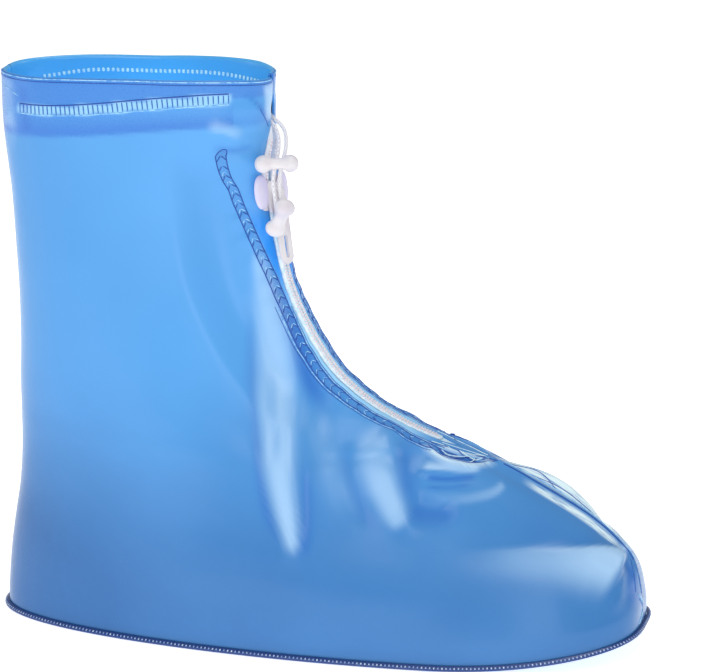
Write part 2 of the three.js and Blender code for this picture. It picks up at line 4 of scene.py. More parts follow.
import bmesh
import bpy
import numpy as np
from bpy.props import FloatProperty, FloatVectorProperty, PointerProperty
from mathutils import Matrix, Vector


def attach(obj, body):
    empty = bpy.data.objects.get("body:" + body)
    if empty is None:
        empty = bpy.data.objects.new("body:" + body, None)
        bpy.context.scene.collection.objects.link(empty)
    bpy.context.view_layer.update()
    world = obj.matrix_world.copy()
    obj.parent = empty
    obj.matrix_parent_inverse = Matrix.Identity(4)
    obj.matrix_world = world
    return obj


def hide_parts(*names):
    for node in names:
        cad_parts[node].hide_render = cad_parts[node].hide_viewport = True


bl_info = {
    "name": "Shoe cover",
    "version": (1, 0, 0),
    "blender": (4, 5, 0),
    "location": "View3D > Sidebar > Shoe cover",
    "description": "Builds the finished look of a zipped waterproof shoe cover on its packed solids",
    "category": "Object",
}

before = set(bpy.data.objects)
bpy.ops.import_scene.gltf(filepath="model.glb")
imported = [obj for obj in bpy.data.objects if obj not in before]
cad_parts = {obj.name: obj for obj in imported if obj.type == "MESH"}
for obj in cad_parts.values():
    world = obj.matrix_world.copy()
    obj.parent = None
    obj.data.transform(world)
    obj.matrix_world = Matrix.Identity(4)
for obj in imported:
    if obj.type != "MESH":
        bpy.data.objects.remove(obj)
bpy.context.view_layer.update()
MM = 0.001

# ---------------------------------------------------------------- shape of the upper, in millimetres

SIDES = ((-1, "right"), (1, "left"))
HEIGHT = 250.0
WALL = 1.0
# Half the gap between the panels: at a seam, where the cords come out and at the collar's rim
SEAM_HALF, EXIT_HALF, RIM_HALF = 0.15, 2.8, 0.5
ZIP_BOTTOM, ZIP_TOP, TAPE_END, SLIDER_Z = 91.0, 223.0, 86.0, 199.0
COIL_WIDTH, COIL_GAP, ROWS_PARTED, BED_RUN_OUT = 2.6, 0.45, 1.7, 6
# Teeth: how far the left row starts above the right one, share of the row's width, place in front
TOOTH_STAGGER, TOOTH_ASIDE, TOOTH_OUT = 0.45, 0.33, 1.2
TAPE_DEPTHS = (1.5, 2.4)
# The zip turns to the right about a line behind it
ZIP_TWIST, TWIST_PIVOT = math.radians(26), 18
TOE_SPRING, SPRING_START, SPRING_END, SPRING_FADE = 11.0, 62.0, 150, 90.0
TUNNEL_Z, TUNNEL_DEPTH = 233.0, 2.3
# Rolled edge of the collar, and the lower edge of the doubled film and its climb to the front
ROLL_RISE, ROLL_HALF, HEM_EDGE, HEM_CLIMB = 1.6, 1.3, 223, 8.5
# Turned-in hem: drop from the collar's edge, clearance to the wall
HEM = [(1.6, 0.6), (10.5, 0.4), (13.6, 1.8), (17, 2.6), (20.4, 1.8), (23.6, 0.4)]
# Ladder of welded bars on the collar: its ends along the foot, its height and its climb to the front
LADDER_FROM, LADDER_TO, LADDER_Z, LADDER_CLIMB = -131, -36, 235.6, 7
# Rise of the film at the toe's seam, beside it, where the left panel laps over it, at the zip's puckers
# and in its slow waves
SEAM_RIDGE, SEAM_GROOVE, LAP_RISE, PUCKER_RISE, SWAY_RISE = 0.9, 1.0, 6.0, 0.28, 0.35
NORMAL_STEP = 0.4
LINE_SIDES, CORD_SIDES = 6, 14
# Crease of a bar's edges, and lean and spacing of a chevron's two arms
BAR_CREASE, CHEVRON_LEAN, ARM_SHIFT = 0.45, -0.9, 0.38
# Raised bars of each row: length across the row, width along it, rise
LADDER_BAR, INSIDE_BAR, BACK_BAR = (4.2, 0.6, 0.4), (1.9, 1.4, 0.4), (6.0, 1.2, 0.3)
CHEVRON_BAR, GLINT_BAR = (3.1, 0.42, 0.5), (2.2, 0.4, 0.44)
TICK_BAR, TOOTH_BAR = (1.0, 0.7, 0.3), (1.7, 0.9, 1.2)
# Rails of the ladder: height from its middle, radius, finish
RAILS = ((2.1, 0.3, "weld_line"), (-2.1, 0.24, "weld_pale"))
# Lines along the border of the zip's track: name, distance outside it, radius, finish
TRACK_LINES = (("edge", 0, 0.26, "weld_line"), ("glint", 0.75, 0.2, "weld_pale"),
               ("rim", 1.5, 0.16, "weld_line"))
# Lines at the collar's rim, a painted highlight over a painted shade: name, height, depth in the film, radius,
# finish
RIM_LINES = (("rim", 249.3, 0.05, 0.24, "weld_pale"), ("rim_shade", 248.1, 0.02, 0.2, "weld_line"))
# Weld down the back of the hem: its ends and the step of its bars. Seam over the toe: its ends, its
# distance from the middle and its radius
BACK_WELD_Z, BACK_WELD_STEP = (224, 246), 2.4
TOE_SEAM_X, TOE_SEAM_AWAY, TOE_SEAM_RADIUS = (84, 143), 0.9, 0.3
# Braid of the cord: strands round it and their turns along it, and the steps and easing of its path
STRANDS, STRAND_PITCH, TAIL_STEP, TAIL_EASE = 3, 2600.0, 0.6, 2.2
# Height where the gathers at the foot of the zip begin and where they are full
GATHERS_FROM, GATHERS_FULL = 72, 80

# Level outlines: height, back, front, half width, bluntness of the back end and of the front end
SECTIONS = np.array([
    (0, -147.9, 147.9, 54.4, 0.37, 0.31), (6, -147.9, 147.9, 54.4, 0.37, 0.31),
    (14, -147.7, 147.6, 54.6, 0.39, 0.33), (30, -146.5, 145, 53.6, 0.42, 0.39),
    (42, -145, 139, 51.5, 0.44, 0.45), (58, -142.6, 123, 48, 0.46, 0.52),
    (72, -141.4, 100.5, 45.5, 0.46, 0.54), (82, -141, 80.5, 44, 0.46, 0.55),
    (90, -140.9, 57, 43, 0.46, 0.55), (97, -140.8, 39.6, 42, 0.46, 0.55),
    (108, -140.6, 22.6, 41, 0.46, 0.6), (128, -139.7, 5, 39.5, 0.46, 0.66),
    (150, -139.9, -7.2, 37.5, 0.46, 0.7), (167, -140.7, -13, 36, 0.45, 0.7),
    (195, -142.4, -18.2, 34, 0.43, 0.66), (226, -145.8, -21.8, 32.5, 0.4, 0.5),
    (250, -146, -21.6, 32, 0.38, 0.42),
])

# Folds of the film in side view: a line of (x, z), then at its start and end the width before the line,
# the width after it and the rise, and the share of its length over which each end fades. After is the
# toe's side of a line that runs down, and the upper side of one that runs to the toe.
RIGHT_FOLDS = [
    ([(-25, 196), (-18, 160), (-11, 132), (-5.5, 112), (-3.5, 92), (-0.5, 72), (1.8, 54), (1, 38)],
     (9, 6), (4, 3), (2.6, 2.4), (0.3, 0.25)),
    ([(-30, 180), (-24, 150), (-18, 118), (-14, 88), (-9, 62), (-3, 44)], (4, 3.5), (8, 7), (-1.6, -1.4),
     (0.3, 0.3)),
    ([(-13, 122), (-11, 106), (-9, 88)], (2.6, 2.2), (2.6, 2.2), (-0.7, -0.5), (0.4, 0.4)),
    ([(1, 132), (5, 112), (9, 92), (12, 74)], (6, 5), (6, 6), (-2.0, -1.0), (0.3, 0.4)),
    ([(29, 100), (36, 92), (42, 80), (49, 64), (54, 54)], (9, 6), (4, 3.5), (3.0, 1.8), (0.25, 0.35)),
    ([(20, 96), (23, 84), (30, 68), (40, 56)], (4, 4), (6, 5), (-1.3, -0.9), (0.3, 0.35)),
    ([(50, 82), (60, 82), (76, 81)], (1.8, 1.8), (4, 3), (1.8, 1.2), (0.25, 0.3)),
    ([(47, 72), (58, 69), (72, 68)], (6, 5), (5, 4), (-2.2, -1.6), (0.3, 0.3)),
    ([(142, 44.5), (131, 48), (119, 49), (106, 49.4), (90, 49.4), (64, 48)], (2.5, 4), (9, 9), (2.6, 0.5),
     (0.02, 0.4)),
    ([(142, 46), (144, 36), (146, 22)], (3, 3), (3, 3), (-1.3, -0.6), (0.2, 0.3)),
    ([(140, 42), (140.5, 32), (141, 22)], (4, 4), (2, 2), (0.8, 0.3), (0.2, 0.4)),
    ([(-46, 230.5), (-37, 229), (-29, 224.5)], (2.6, 2.6), (4.5, 4.5), (1.5, 1.0), (0.3, 0.3)),
    ([(-44, 221), (-34, 220), (-24, 221)], (3, 3), (3, 3), (-1.2, -0.9), (0.3, 0.3)),
    ([(-30, 246), (-26, 236), (-27, 226)], (4, 4), (3, 3), (0.9, 0.7), (0.3, 0.3)),
    ([(-120, 205), (-112, 150), (-116, 90)], (16, 18), (14, 18), (0.9, 0.5), (0.4, 0.4)),
    ([(-70, 215), (-66, 170), (-72, 120)], (12, 14), (14, 16), (-0.6, -0.4), (0.4, 0.4)),
]
LEFT_FOLDS = [
    ([(-20, 166), (-10, 128), (-6, 98), (-2, 66), (0, 46)], (8, 6), (6, 4), (2.6, 1.6), (0.3, 0.3)),
    ([(4, 134), (10, 108), (14, 80)], (7, 7), (6, 6), (-1.4, -0.9), (0.4, 0.4)),
    ([(30, 102), (42, 82), (54, 58)], (8, 6), (5, 4), (2.2, 1.2), (0.3, 0.3)),
    ([(52, 74), (70, 70), (92, 66)], (6, 6), (5, 5), (-1.6, -1.0), (0.3, 0.3)),
    ([(138, 47), (118, 48), (88, 48)], (4, 5), (7, 8), (1.4, 0.5), (0.35, 0.4)),
    ([(98, 66), (112, 60), (126, 56)], (3, 3), (4, 4), (1.2, 0.8), (0.3, 0.3)),
    ([(-118, 200), (-110, 140), (-114, 84)], (16, 18), (14, 18), (0.8, 0.5), (0.4, 0.4)),
    ([(-66, 212), (-62, 160), (-70, 110)], (12, 14), (14, 16), (-0.7, -0.4), (0.4, 0.4)),
]
# Painted highlights on the crests of the film's folds, and painted shade between them: lines in side view
# as above, with a share in place of the rise
RIGHT_FOLD_HIGHLIGHTS = [
    ([(-26.6, 178), (-24.4, 170), (-21.5, 158), (-18.5, 142), (-16, 127), (-13.2, 110), (-10, 95), (-7, 77),
      (-2.6, 60), (1.4, 45)], (1.5, 3.6, 6.2, 7.4, 7.2, 6.8, 5, 2), (1.5, 3.6, 6.2, 7.4, 7.2, 6.8, 5, 2),
     (0.35, 0.55, 0.7, 0.8, 0.85, 0.9, 0.9, 0.8), (0.1, 0.06)),
    ([(-18.5, 126), (-15.2, 111), (-11, 95), (-9, 82)], (2.0, 2.2), (2.2, 2.2), (-0.32, -0.3), (0.35, 0.35)),
    ([(25, 101), (30.5, 90), (36.8, 78), (43, 67.5), (48, 59)], (3.5, 5.5, 6, 5, 3), (3.5, 5.5, 6, 5, 3),
     (0.35, 0.5, 0.7, 0.75, 0.6), (0.2, 0.15)),
    ([(0, 111), (9.7, 94), (17, 79), (23, 62)], (5, 6), (5, 6), (0.2, 0.15), (0.3, 0.3)),
    ([(51, 83.6), (60, 82.6), (69, 81.2), (77, 80.8)], (0.7, 0.7), (2.2, 1.8), (0.85, 0.7), (0.15, 0.15)),
    ([(87, 76), (84, 73.4), (78, 72.2), (70, 71.8), (57, 74)], (1.6, 2), (1.6, 2), (0.6, 0.15), (0.1, 0.3)),
    ([(142, 45), (131, 48.8), (119, 50), (106, 50.4), (90, 50.4), (64, 49)], (0.8, 1.2, 2, 2.5),
     (12, 13, 11, 9, 7), (1.25, 1.0, 0.64, 0.4, 0.22), (0.07, 0.3)),
    ([(-46, 232), (-38, 230.5), (-30, 226)], (1.8, 1.8), (3, 3), (0.55, 0.45), (0.3, 0.3)),
    ([(-22.4, 248), (-22.1, 240), (-21.9, 231)], (1.1, 1), (3, 3), (0.95, 0.95), (0.1, 0.15)),
    ([(-139.5, 248), (-139, 238), (-138.5, 225)], (4.5, 4.5), (4.5, 4.5), (0.42, 0.32), (0.08, 0.12)),
    ([(-140, 232), (-136, 226), (-139, 210)], (5, 3), (3, 3), (0.25, 0.1), (0.2, 0.4)),
]
RIGHT_FOLD_SHADE = [
    ([(-22, 168), (-15.3, 153), (-9.2, 138), (-3.2, 122), (4, 111), (13, 103)], (2.5, 4, 4, 3), (3, 5, 5, 4),
     (0.6, 0.85, 0.85, 0.6), (0.15, 0.3)),
    ([(-28.5, 157), (-27, 140), (-23.6, 118), (-19, 95), (-14, 70), (-5, 48)], (2.6, 2.2), (1.4, 1.4),
     (0.25, 0.6), (0.35, 0.15)),
    ([(2, 90), (4.5, 74), (5.5, 58), (4, 44)], (2, 2), (3, 3), (0.45, 0.55), (0.3, 0.2)),
    ([(16, 98), (21, 84), (30, 68), (40, 56)], (3, 2.4), (3, 2.4), (0.25, 0.3), (0.3, 0.3)),
    ([(40, 96), (46, 80), (52, 66)], (3, 3), (5, 5), (0.55, 0.4), (0.3, 0.4)),
    ([(54, 80.2), (64.7, 79), (76, 78.8)], (0.8, 0.8), (0.8, 0.8), (0.9, 0.8), (0.15, 0.15)),
    ([(54, 77), (64, 76), (75, 76.6)], (0.6, 0.6), (0.6, 0.6), (0.6, 0.5), (0.25, 0.2)),
    ([(48, 69), (58, 66), (74, 66.5)], (4, 4), (4, 4), (0.6, 0.5), (0.3, 0.3)),
    ([(90, 66), (110, 57), (132, 51)], (7, 3), (6, 2), (0.14, 0.12), (0.4, 0.2)),
    ([(143, 44), (145, 34), (147, 20)], (1.4, 1.4), (3, 3), (0.8, 0.5), (0.1, 0.4)),
    ([(-44, 222), (-34, 220.6), (-25, 222)], (1.6, 1.6), (1.6, 1.6), (0.55, 0.45), (0.3, 0.3)),
    ([(-31, 245), (-26, 240.5), (-23.2, 235.6), (-22.2, 230.5)], (0.6, 0.6), (0.6, 0.6), (0.6, 0.9),
     (0.3, 0.1)),
    ([(-146, 247), (-147, 226), (-144, 196)], (6, 5), (6, 5), (0.2, 0.3), (0.1, 0.4)),
    ([(-129.5, 247), (-129, 236), (-127.5, 225)], (2, 2), (2.6, 3), (0.35, 0.5), (0.2, 0.1)),
]
LEFT_FOLD_HIGHLIGHTS = [
    ([(-22, 150), (-13, 118), (-8, 90), (-3, 62)], (4, 3), (5, 3), (0.4, 0.5), (0.3, 0.3)),
    ([(30, 96), (38, 80), (48, 62)], (5, 4), (5, 4), (0.4, 0.4), (0.3, 0.3)),
    ([(142, 44.5), (116, 48), (80, 49)], (1.2, 3), (10, 9), (0.6, 0.2), (0.02, 0.4)),
]
LEFT_FOLD_SHADE = [
    ([(-8, 148), (2, 118), (8, 98)], (6, 4), (7, 6), (0.5, 0.4), (0.3, 0.4)),
    ([(44, 92), (50, 74), (56, 60)], (3, 3), (5, 5), (0.4, 0.3), (0.3, 0.4)),
]
# Gathers at the foot of the zip, in plan: a line of (x, distance from the middle), then as above
RIGHT_GATHERS = [
    ([(50, 11), (56, 15.8), (62, 17.2), (71, 14.6), (77, 7.4), (81, 1)], (1.6, 1.2), (1.6, 1.2), (1.7, 1.0),
     (0.15, 0.15)),
    ([(55, 12), (63, 13), (70, 10.8), (76, 5.4)], (1.3, 1.1), (1.3, 1.1), (-1.6, -1.1), (0.2, 0.2)),
    ([(55, 9), (62, 8.8), (69, 7.6), (74, 5.2), (79, 1.6)], (1.2, 1.0), (1.2, 1.0), (1.5, 0.8), (0.2, 0.2)),
    ([(59, 6), (67, 5), (74, 2.6)], (1.1, 1.0), (1.1, 1.0), (-1.4, -0.9), (0.25, 0.25)),
]
LEFT_GATHERS = [
    ([(54, 12), (66, 11), (78, 5)], (1.5, 1.2), (1.5, 1.2), (1.4, 0.7), (0.25, 0.25)),
    ([(58, 8), (68, 7), (78, 2.5)], (1.2, 1.0), (1.2, 1.0), (-1.2, -0.8), (0.25, 0.25)),
]
# Sharp creases among the gathers, in plan
CREASES = [
    [(54, 13.6), (60, 15.4), (66, 15.2), (71, 13), (76, 7), (80.5, 1.2)],
    [(56, 10.6), (61, 12.6), (66, 11.4), (70, 8.6)],
    [(62, 7), (67, 9.4), (72, 8.6), (76, 4.6)],
    [(57, 6.4), (64, 6.6), (70, 4.2)],
    [(68, 13.6), (71, 10.4), (72.6, 7)],
    [(70, 5.6), (74, 4.4), (79, 1.4)],
]
# Fine dark lines, and pale lines of painted highlight, where the film is drawn together ahead of the zip and
# lapped over the toe, in plan: the side, the finish, the radius and the line
DRAWN_LINES = [
    (-1, "weld_line", 0.2, [(52, 8.6), (60, 7.2), (68, 4.8), (75, 2.2), (81, 0.8)]),
    (-1, "weld_bright", 0.24, [(53, 7.6), (60, 6.1), (68, 3.9), (75, 1.6)]),
    (-1, "weld_bright", 0.2, [(57, 4.6), (66, 2.8), (76, 1)]),
    (1, "weld_line", 0.2, [(50, 9), (58, 8.5), (66, 6.4), (74, 3.2), (80, 1.2)]),
    (1, "weld_bright", 0.24, [(52, 6.8), (60, 6), (68, 4), (76, 1.6)]),
    (1, "weld_line", 0.18, [(48, 12.5), (55, 9.4), (61, 5)]),
    (1, "weld_line", 0.18, [(47, 8), (54, 10), (61, 11)]),
    (1, "weld_line", 0.22, [(83, 1.4), (89, 3.6), (95, 4.6), (101, 3.6), (107, 1.2)]),
    (1, "weld_line", 0.2, [(96, 1.5), (106, 2.8), (118, 2.8), (132, 1.5)]),
]
# Creases at the two ends of the collar: the finish, the radius and the line in side view
COLLAR_LINES = [
    ("weld_soft", 0.24, [(-24.6, 238), (-23.5, 234.8), (-22.7, 231.8), (-22.2, 229.4)]),
    ("weld_pale", 0.2, [(-143.5, 244.5), (-138, 243.2), (-132, 241)]),
]
# Painted shade in the pleats and painted glints on the toe's tip: the finish, the radius and a line of
# (distance from the middle, height)
TIP_LINES = [
    ("weld_soft", 0.24, [(2.5, 36.4), (5.8, 29.2), (8.9, 21.3)]),
    ("weld_soft", 0.24, [(1.2, 32.4), (1.5, 24.9), (1, 17.5)]),
    ("weld_pale", 0.34, [(6, 18.6), (3.4, 16), (0.7, 12.6)]),
    ("weld_soft", 0.26, [(6.2, 16.4), (3.4, 13.4), (0.9, 10.4)]),
    ("weld_pale", 0.34, [(1, 8.6), (4, 6.4), (8.5, 4.2)]),
]
# Weld that joins the film to the zip's tape: height, distance from the zip's middle
TRACK = np.array([
    (84, 12), (87, 12.5), (91, 12), (94, 11), (99, 9.8), (107, 9.2), (114, 8.6), (119, 8.2), (127, 7.6),
    (132, 7.6), (142, 6.8), (150, 6.6), (158, 6.8), (164, 7.4), (179, 10.1), (191, 12.4), (203, 15.4),
    (211, 18.2), (218, 20.6),
])
TRACK_HALF = 2.3

# Rise of the collar's rim on each side: place along the foot, height
RIM = {
    -1: [(-150, 0.2), (-128, 0.2), (-103, 1.6), (-78, 2.3), (-60, 2.1), (-40, 1.9), (-28, 1.2), (-18, -0.2)],
    1: [(-150, 0.2), (-120, 1.1), (-95, 1.4), (-83, 1.7), (-72, 2.4), (-60, 3), (-48, 3.4), (-37, 3.5),
        (-30, 3.2), (-18, 1.5)],
}
# Tails of the drawstring and its toggles, from the zip's middle line: height, out, across to the left
TAILS = {
    "right": [(233, -2.3, -4.7), (232.63, -1.99, -2.9), (231.62, -1.14, -1.58), (230.24, 0.02, -1.1),
              (227.3, 2.4, -1.5), (224, 4.6, -3.3), (220, 6.8, -5.9), (215, 8.8, -7.7), (208, 10.4, -9),
              (200, 11.6, -10), (192, 11.7, -10.25)],
    "left": [(233, -2.3, 4.7), (232.76, -1.88, 2.9), (232.1, -0.74, 1.58), (231.2, 0.82, 1.1),
             (228.9, 4, 0.7), (225.8, 6.6, -0.9), (221, 9, -3.6), (215, 10.9, -5.9), (208, 12.2, -7),
             (200, 12.9, -7.9), (192.4, 12.3, -8.15)],
}
# Toggles: middle, and the direction in which each lies
TOGGLES = {
    "upper": ((215, 9, -7.5), (0, 0.755, 0.655)),
    "lower": ((192, 12, -9.2), (0.8, 0.6, 0)),
}
# Half of a toggle's outline from its end to its waist: along, radius
TOGGLE_HALF = [(9.7, 0), (9.55, 1.3), (9.1, 2.6), (8.3, 3.6), (7.2, 4.3), (5.9, 4.6), (4.7, 4.3), (3.6, 3.6),
               (2.5, 3.1), (1.2, 2.95)]
TOGGLE_WAIST, TOGGLE_FLAT = 2.9, 0.86
# Slider on the zip: its place and its axes across, up and out
SLIDER_PLACE = (-20.6108, -7.8907, 199.0)
SLIDER_AXES = ((0.43837, 0.89879, 0.0), (-0.11563, 0.0564, 0.99169), (0.89132, -0.43473, 0.12866))
# Wings of the slider: distance from its middle and half width on each side
WINGS = {-1: (8.4, 4.3), 1: (5.4, 2.8)}
WING_HALF_HEIGHT, WING_RISE, WING_UP, WING_OUT = 7.6, 2.1, 2.6, 2.2
# Outline of a zip row's base: share of the row's width, depth behind the front line
BEAD = [(0.02, WALL), (0.98, WALL), (0.98, -0.5), (0.72, -1.25), (0.35, -1.5), (0.02, -1.5)]
# Outline of the welt: reach out from the sole's edge, height
SOLE_THICK = 2.0
WELT_PROFILE = [(0.3, 0.0), (1.5, 0.05), (1.95, 0.3), (2.1, 0.75), (2.05, 1.2), (1.75, 1.6), (1.2, 1.9),
                (0.85, 2.3), (0.6, 2.5), (0.3, 2.4)]
TICK_REACH, TICK_HEIGHT = 1.65, 1.6
# Stretches of the side view and of the plan that the folds and the gathers cover
SIDE_VIEW, ZIP_FOOT = ((-170, -10), (170, 260)), ((30, 0), (110, 40))
FINISH_PREFIX = "finish_"

# Camera and stage, in metres: the camera stands to the toe's side and above
CAMERA_TURN, CAMERA_TILT, CAMERA_BACK = math.radians(15), math.radians(15.5), 1.567
CAMERA_TARGET, CAMERA_ASIDE, CAMERA_ABOVE = (0, 0, 0.12), 0.0148, 0.0134
SENSOR = 36.0
LENS = 3500 / 709 * SENSOR
FLOOR_Z, FLOOR_GLOW = -0.0004, 0.75
SKY, SKY_STRENGTH = (0.93, 0.96, 1.0, 1.0), 0.3
INSIDE_LAMP = (-0.085, -0.004, 0.205)


def smooth(start, end, value):
    t = np.clip((value - start) / (end - start), 0, 1)
    return t * t * (3 - 2 * t)


def bell(value, middle, width, power=2):
    return np.exp(-(((value - middle) / width) ** power))


def unit(vectors):
    return vectors / np.linalg.norm(vectors, axis=-1, keepdims=True)


def run_along(path):
    """Length of a path up to each of its points."""
    return np.concatenate([[0], np.cumsum(np.linalg.norm(np.diff(path, axis=0), axis=1))])


def section(z):
    """Back, front, half width and the two end powers of the outline at each height."""
    z = np.asarray(z, float)
    last = len(SECTIONS) - 1
    i = np.clip(np.searchsorted(SECTIONS[:, 0], z, side="right") - 1, 0, last - 1)
    p, a, b, n = (SECTIONS[np.clip(i + k, 0, last)] for k in (-1, 0, 1, 2))
    step = b[..., :1] - a[..., :1]
    t = np.clip((z[..., None] - a[..., :1]) / step, 0, 1)
    start = (b - p) / (b[..., :1] - p[..., :1])
    end = (n - a) / (n[..., :1] - a[..., :1])
    rows = ((2 * t**3 - 3 * t**2 + 1) * a + (t**3 - 2 * t**2 + t) * step * start
            + (3 * t**2 - 2 * t**3) * b + (t**3 - t**2) * step * end)
    return np.moveaxis(rows[..., 1:], -1, 0)


def spread(z):
    """How far the zip's rows stand off the middle: together below the slider, parted above it."""
    return SEAM_HALF + ROWS_PARTED * smooth(SLIDER_Z - 7, SLIDER_Z + 4, z)


def slot_half(z):
    """Half the opening between the panels at the front."""
    zip_edge = spread(z) + COIL_WIDTH + COIL_GAP
    collar = zip_edge + (EXIT_HALF - zip_edge) * smooth(ZIP_TOP, ZIP_TOP + 7, z)
    collar = collar + (RIM_HALF - collar) * smooth(237, 243, z)
    return SEAM_HALF + (collar - SEAM_HALF) * smooth(ZIP_BOTTOM - 4, ZIP_BOTTOM, z)


def lift(x, z):
    """Rise of the toe's spring, which fades up the foot."""
    along = np.clip((x - SPRING_START) / (SPRING_END - SPRING_START), 0, 1)
    return TOE_SPRING * along**2 * (1 - np.clip(z / SPRING_FADE, 0, 1))


def stand(points):
    """From the straight shape to the standing one: the zip's twist and the toe's spring."""
    x, y, z = np.moveaxis(np.asarray(points, float), -1, 0)
    front = section(z)[1]
    share = smooth(86, 124, z) * (1 - smooth(206, 233, z))
    angle = ZIP_TWIST * share * smooth(front - 44, front - 4, x)
    pivot = front - TWIST_PIVOT
    ahead = x - pivot
    return np.stack([pivot + ahead * np.cos(angle) + y * np.sin(angle),
                     y * np.cos(angle) - ahead * np.sin(angle), z + lift(x, z)], -1)


def flat_skin(side, turn, z):
    """Outer skin before it is stood up. turn is 0 at the back seam and 1 at the front edge."""
    back, front, half, back_power, front_power = section(z)
    u = np.clip((1 - np.cos(np.pi * turn)) / 2, 0, 1)
    widest = back_power / (back_power + front_power)
    peak = widest**back_power * (1 - widest)**front_power
    swell = u**back_power * (1 - u)**front_power / peak
    edge = SEAM_HALF + (slot_half(z) - SEAM_HALF) * smooth(0.6, 1, turn)
    return np.stack([back + (front - back) * u, side * (edge + half * swell), z + 0 * u], -1)


def through(points, count):
    """A smooth line through points, with count points on each stretch."""
    points = np.asarray(points, float)
    before, after = 2 * points[:1] - points[1:2], 2 * points[-1:] - points[-2:-1]
    padded = np.concatenate([before, points, after])
    t = (np.arange(count) / count)[:, None]
    line = []
    for p, a, b, n in zip(padded, padded[1:], padded[2:], padded[3:]):
        line.append(0.5 * (2 * a + (b - p) * t + (2 * p - 5 * a + 4 * b - n) * t**2
                           + (3 * a - p - 3 * b + n) * t**3))
    return np.concatenate(line + [points[-1:]])


def eased(path, step, spread_over):
    """A line at even steps with its bends eased, its two ends kept."""
    run = run_along(path)
    at = np.linspace(0, run[-1], int(run[-1] / step) + 1)
    even = np.stack([np.interp(at, run, path[:, k]) for k in range(3)], -1)
    margin = np.minimum(at, run[-1] - at)
    near = np.abs(at[:, None] - at[None]) <= margin[:, None] + 1e-9
    weight = bell(at[:, None], at[None], spread_over) * near
    return weight @ even / weight.sum(1, keepdims=True)


class Relief:
    """A height map of folds over a plane, read between its points."""

    STEP = 0.5
    REACH = 2.6

    def __init__(self, folds, low, high, power=2):
        self.power = power
        self.low = np.array(low, float)
        self.shape = tuple(int((h - l) / self.STEP) + 1 for l, h in zip(low, high))
        self.rise = np.zeros(self.shape)
        for fold in folds:
            self.add(*fold)

    def add(self, line, before, after, rise, fade):
        path = through(line, 6)
        reach = self.REACH * max(before + after)
        first = np.maximum(0, ((path.min(0) - reach - self.low) / self.STEP).astype(int))
        last = np.minimum(self.shape, ((path.max(0) + reach - self.low) / self.STEP).astype(int) + 2)
        axes = [self.low[k] + self.STEP * np.arange(first[k], last[k]) for k in (0, 1)]
        spots = np.stack(np.meshgrid(*axes, indexing="ij"), -1)
        best = np.full(spots.shape[:2], np.inf)
        aside, along = np.zeros_like(best), np.zeros_like(best)
        count = len(path) - 1
        for i, (a, b) in enumerate(zip(path, path[1:])):
            run = b - a
            t = np.clip(((spots - a) @ run) / (run @ run), 0, 1)
            off = spots - a - t[..., None] * run
            far = np.hypot(off[..., 0], off[..., 1])
            side = np.sign((spots[..., 1] - a[1]) * run[0] - (spots[..., 0] - a[0]) * run[1])
            nearer = far < best
            best = np.where(nearer, far, best)
            aside = np.where(nearer, side * far, aside)
            along = np.where(nearer, (i + t) / count, along)

        def graded(values):
            return np.interp(along, np.linspace(0, 1, len(values)), values)

        width = np.where(aside < 0, graded(before), graded(after))
        share = smooth(0, fade[0], along) * (1 - smooth(1 - fade[1], 1, along))
        area = np.s_[first[0]:last[0], first[1]:last[1]]
        self.rise[area] += graded(rise) * share * bell(best, 0, width, self.power)

    def at(self, u, v):
        place = [np.clip((value - low) / self.STEP, 0, size - 1.001)
                 for value, low, size in zip((u, v), self.low, self.shape)]
        i, k = (p.astype(int) for p in place)
        s, t = place[0] - i, place[1] - k
        r = self.rise
        return ((r[i, k] * (1 - s) + r[i + 1, k] * s) * (1 - t)
                + (r[i, k + 1] * (1 - s) + r[i + 1, k + 1] * s) * t)


def reliefs(right, left, area, power=2):
    return {-1: Relief(right, *area, power), 1: Relief(left, *area, power)}


SIDE_FOLDS = reliefs(RIGHT_FOLDS, LEFT_FOLDS, SIDE_VIEW)
FOLD_HIGHLIGHTS = reliefs(RIGHT_FOLD_HIGHLIGHTS, LEFT_FOLD_HIGHLIGHTS, SIDE_VIEW, 3)
FOLD_SHADE = reliefs(RIGHT_FOLD_SHADE, LEFT_FOLD_SHADE, SIDE_VIEW)
GATHERS = reliefs(RIGHT_GATHERS, LEFT_GATHERS, ZIP_FOOT)
RIM_LINE = {side: through(rows, 8).T for side, rows in RIM.items()}


def normal_of(face, side, turn, z):
    t0, t1 = np.clip(turn - 0.002, 0, 1), np.clip(turn + 0.002, 0, 1)
    z0, z1 = np.clip(z - 0.5, 0, HEIGHT), np.clip(z + 0.5, 0, HEIGHT)
    return unit(np.cross(face(t1, z) - face(t0, z), face(turn, z1) - face(turn, z0)) * -side)


def track_away(z):
    """How far the weld beside the zip runs from the zip's middle."""
    return np.interp(z, TRACK[:, 0], TRACK[:, 1])


def ladder_height(x):
    """Height of the collar's weld ladder, which climbs to the front."""
    return LADDER_Z + LADDER_CLIMB * smooth(-135, -30, x)


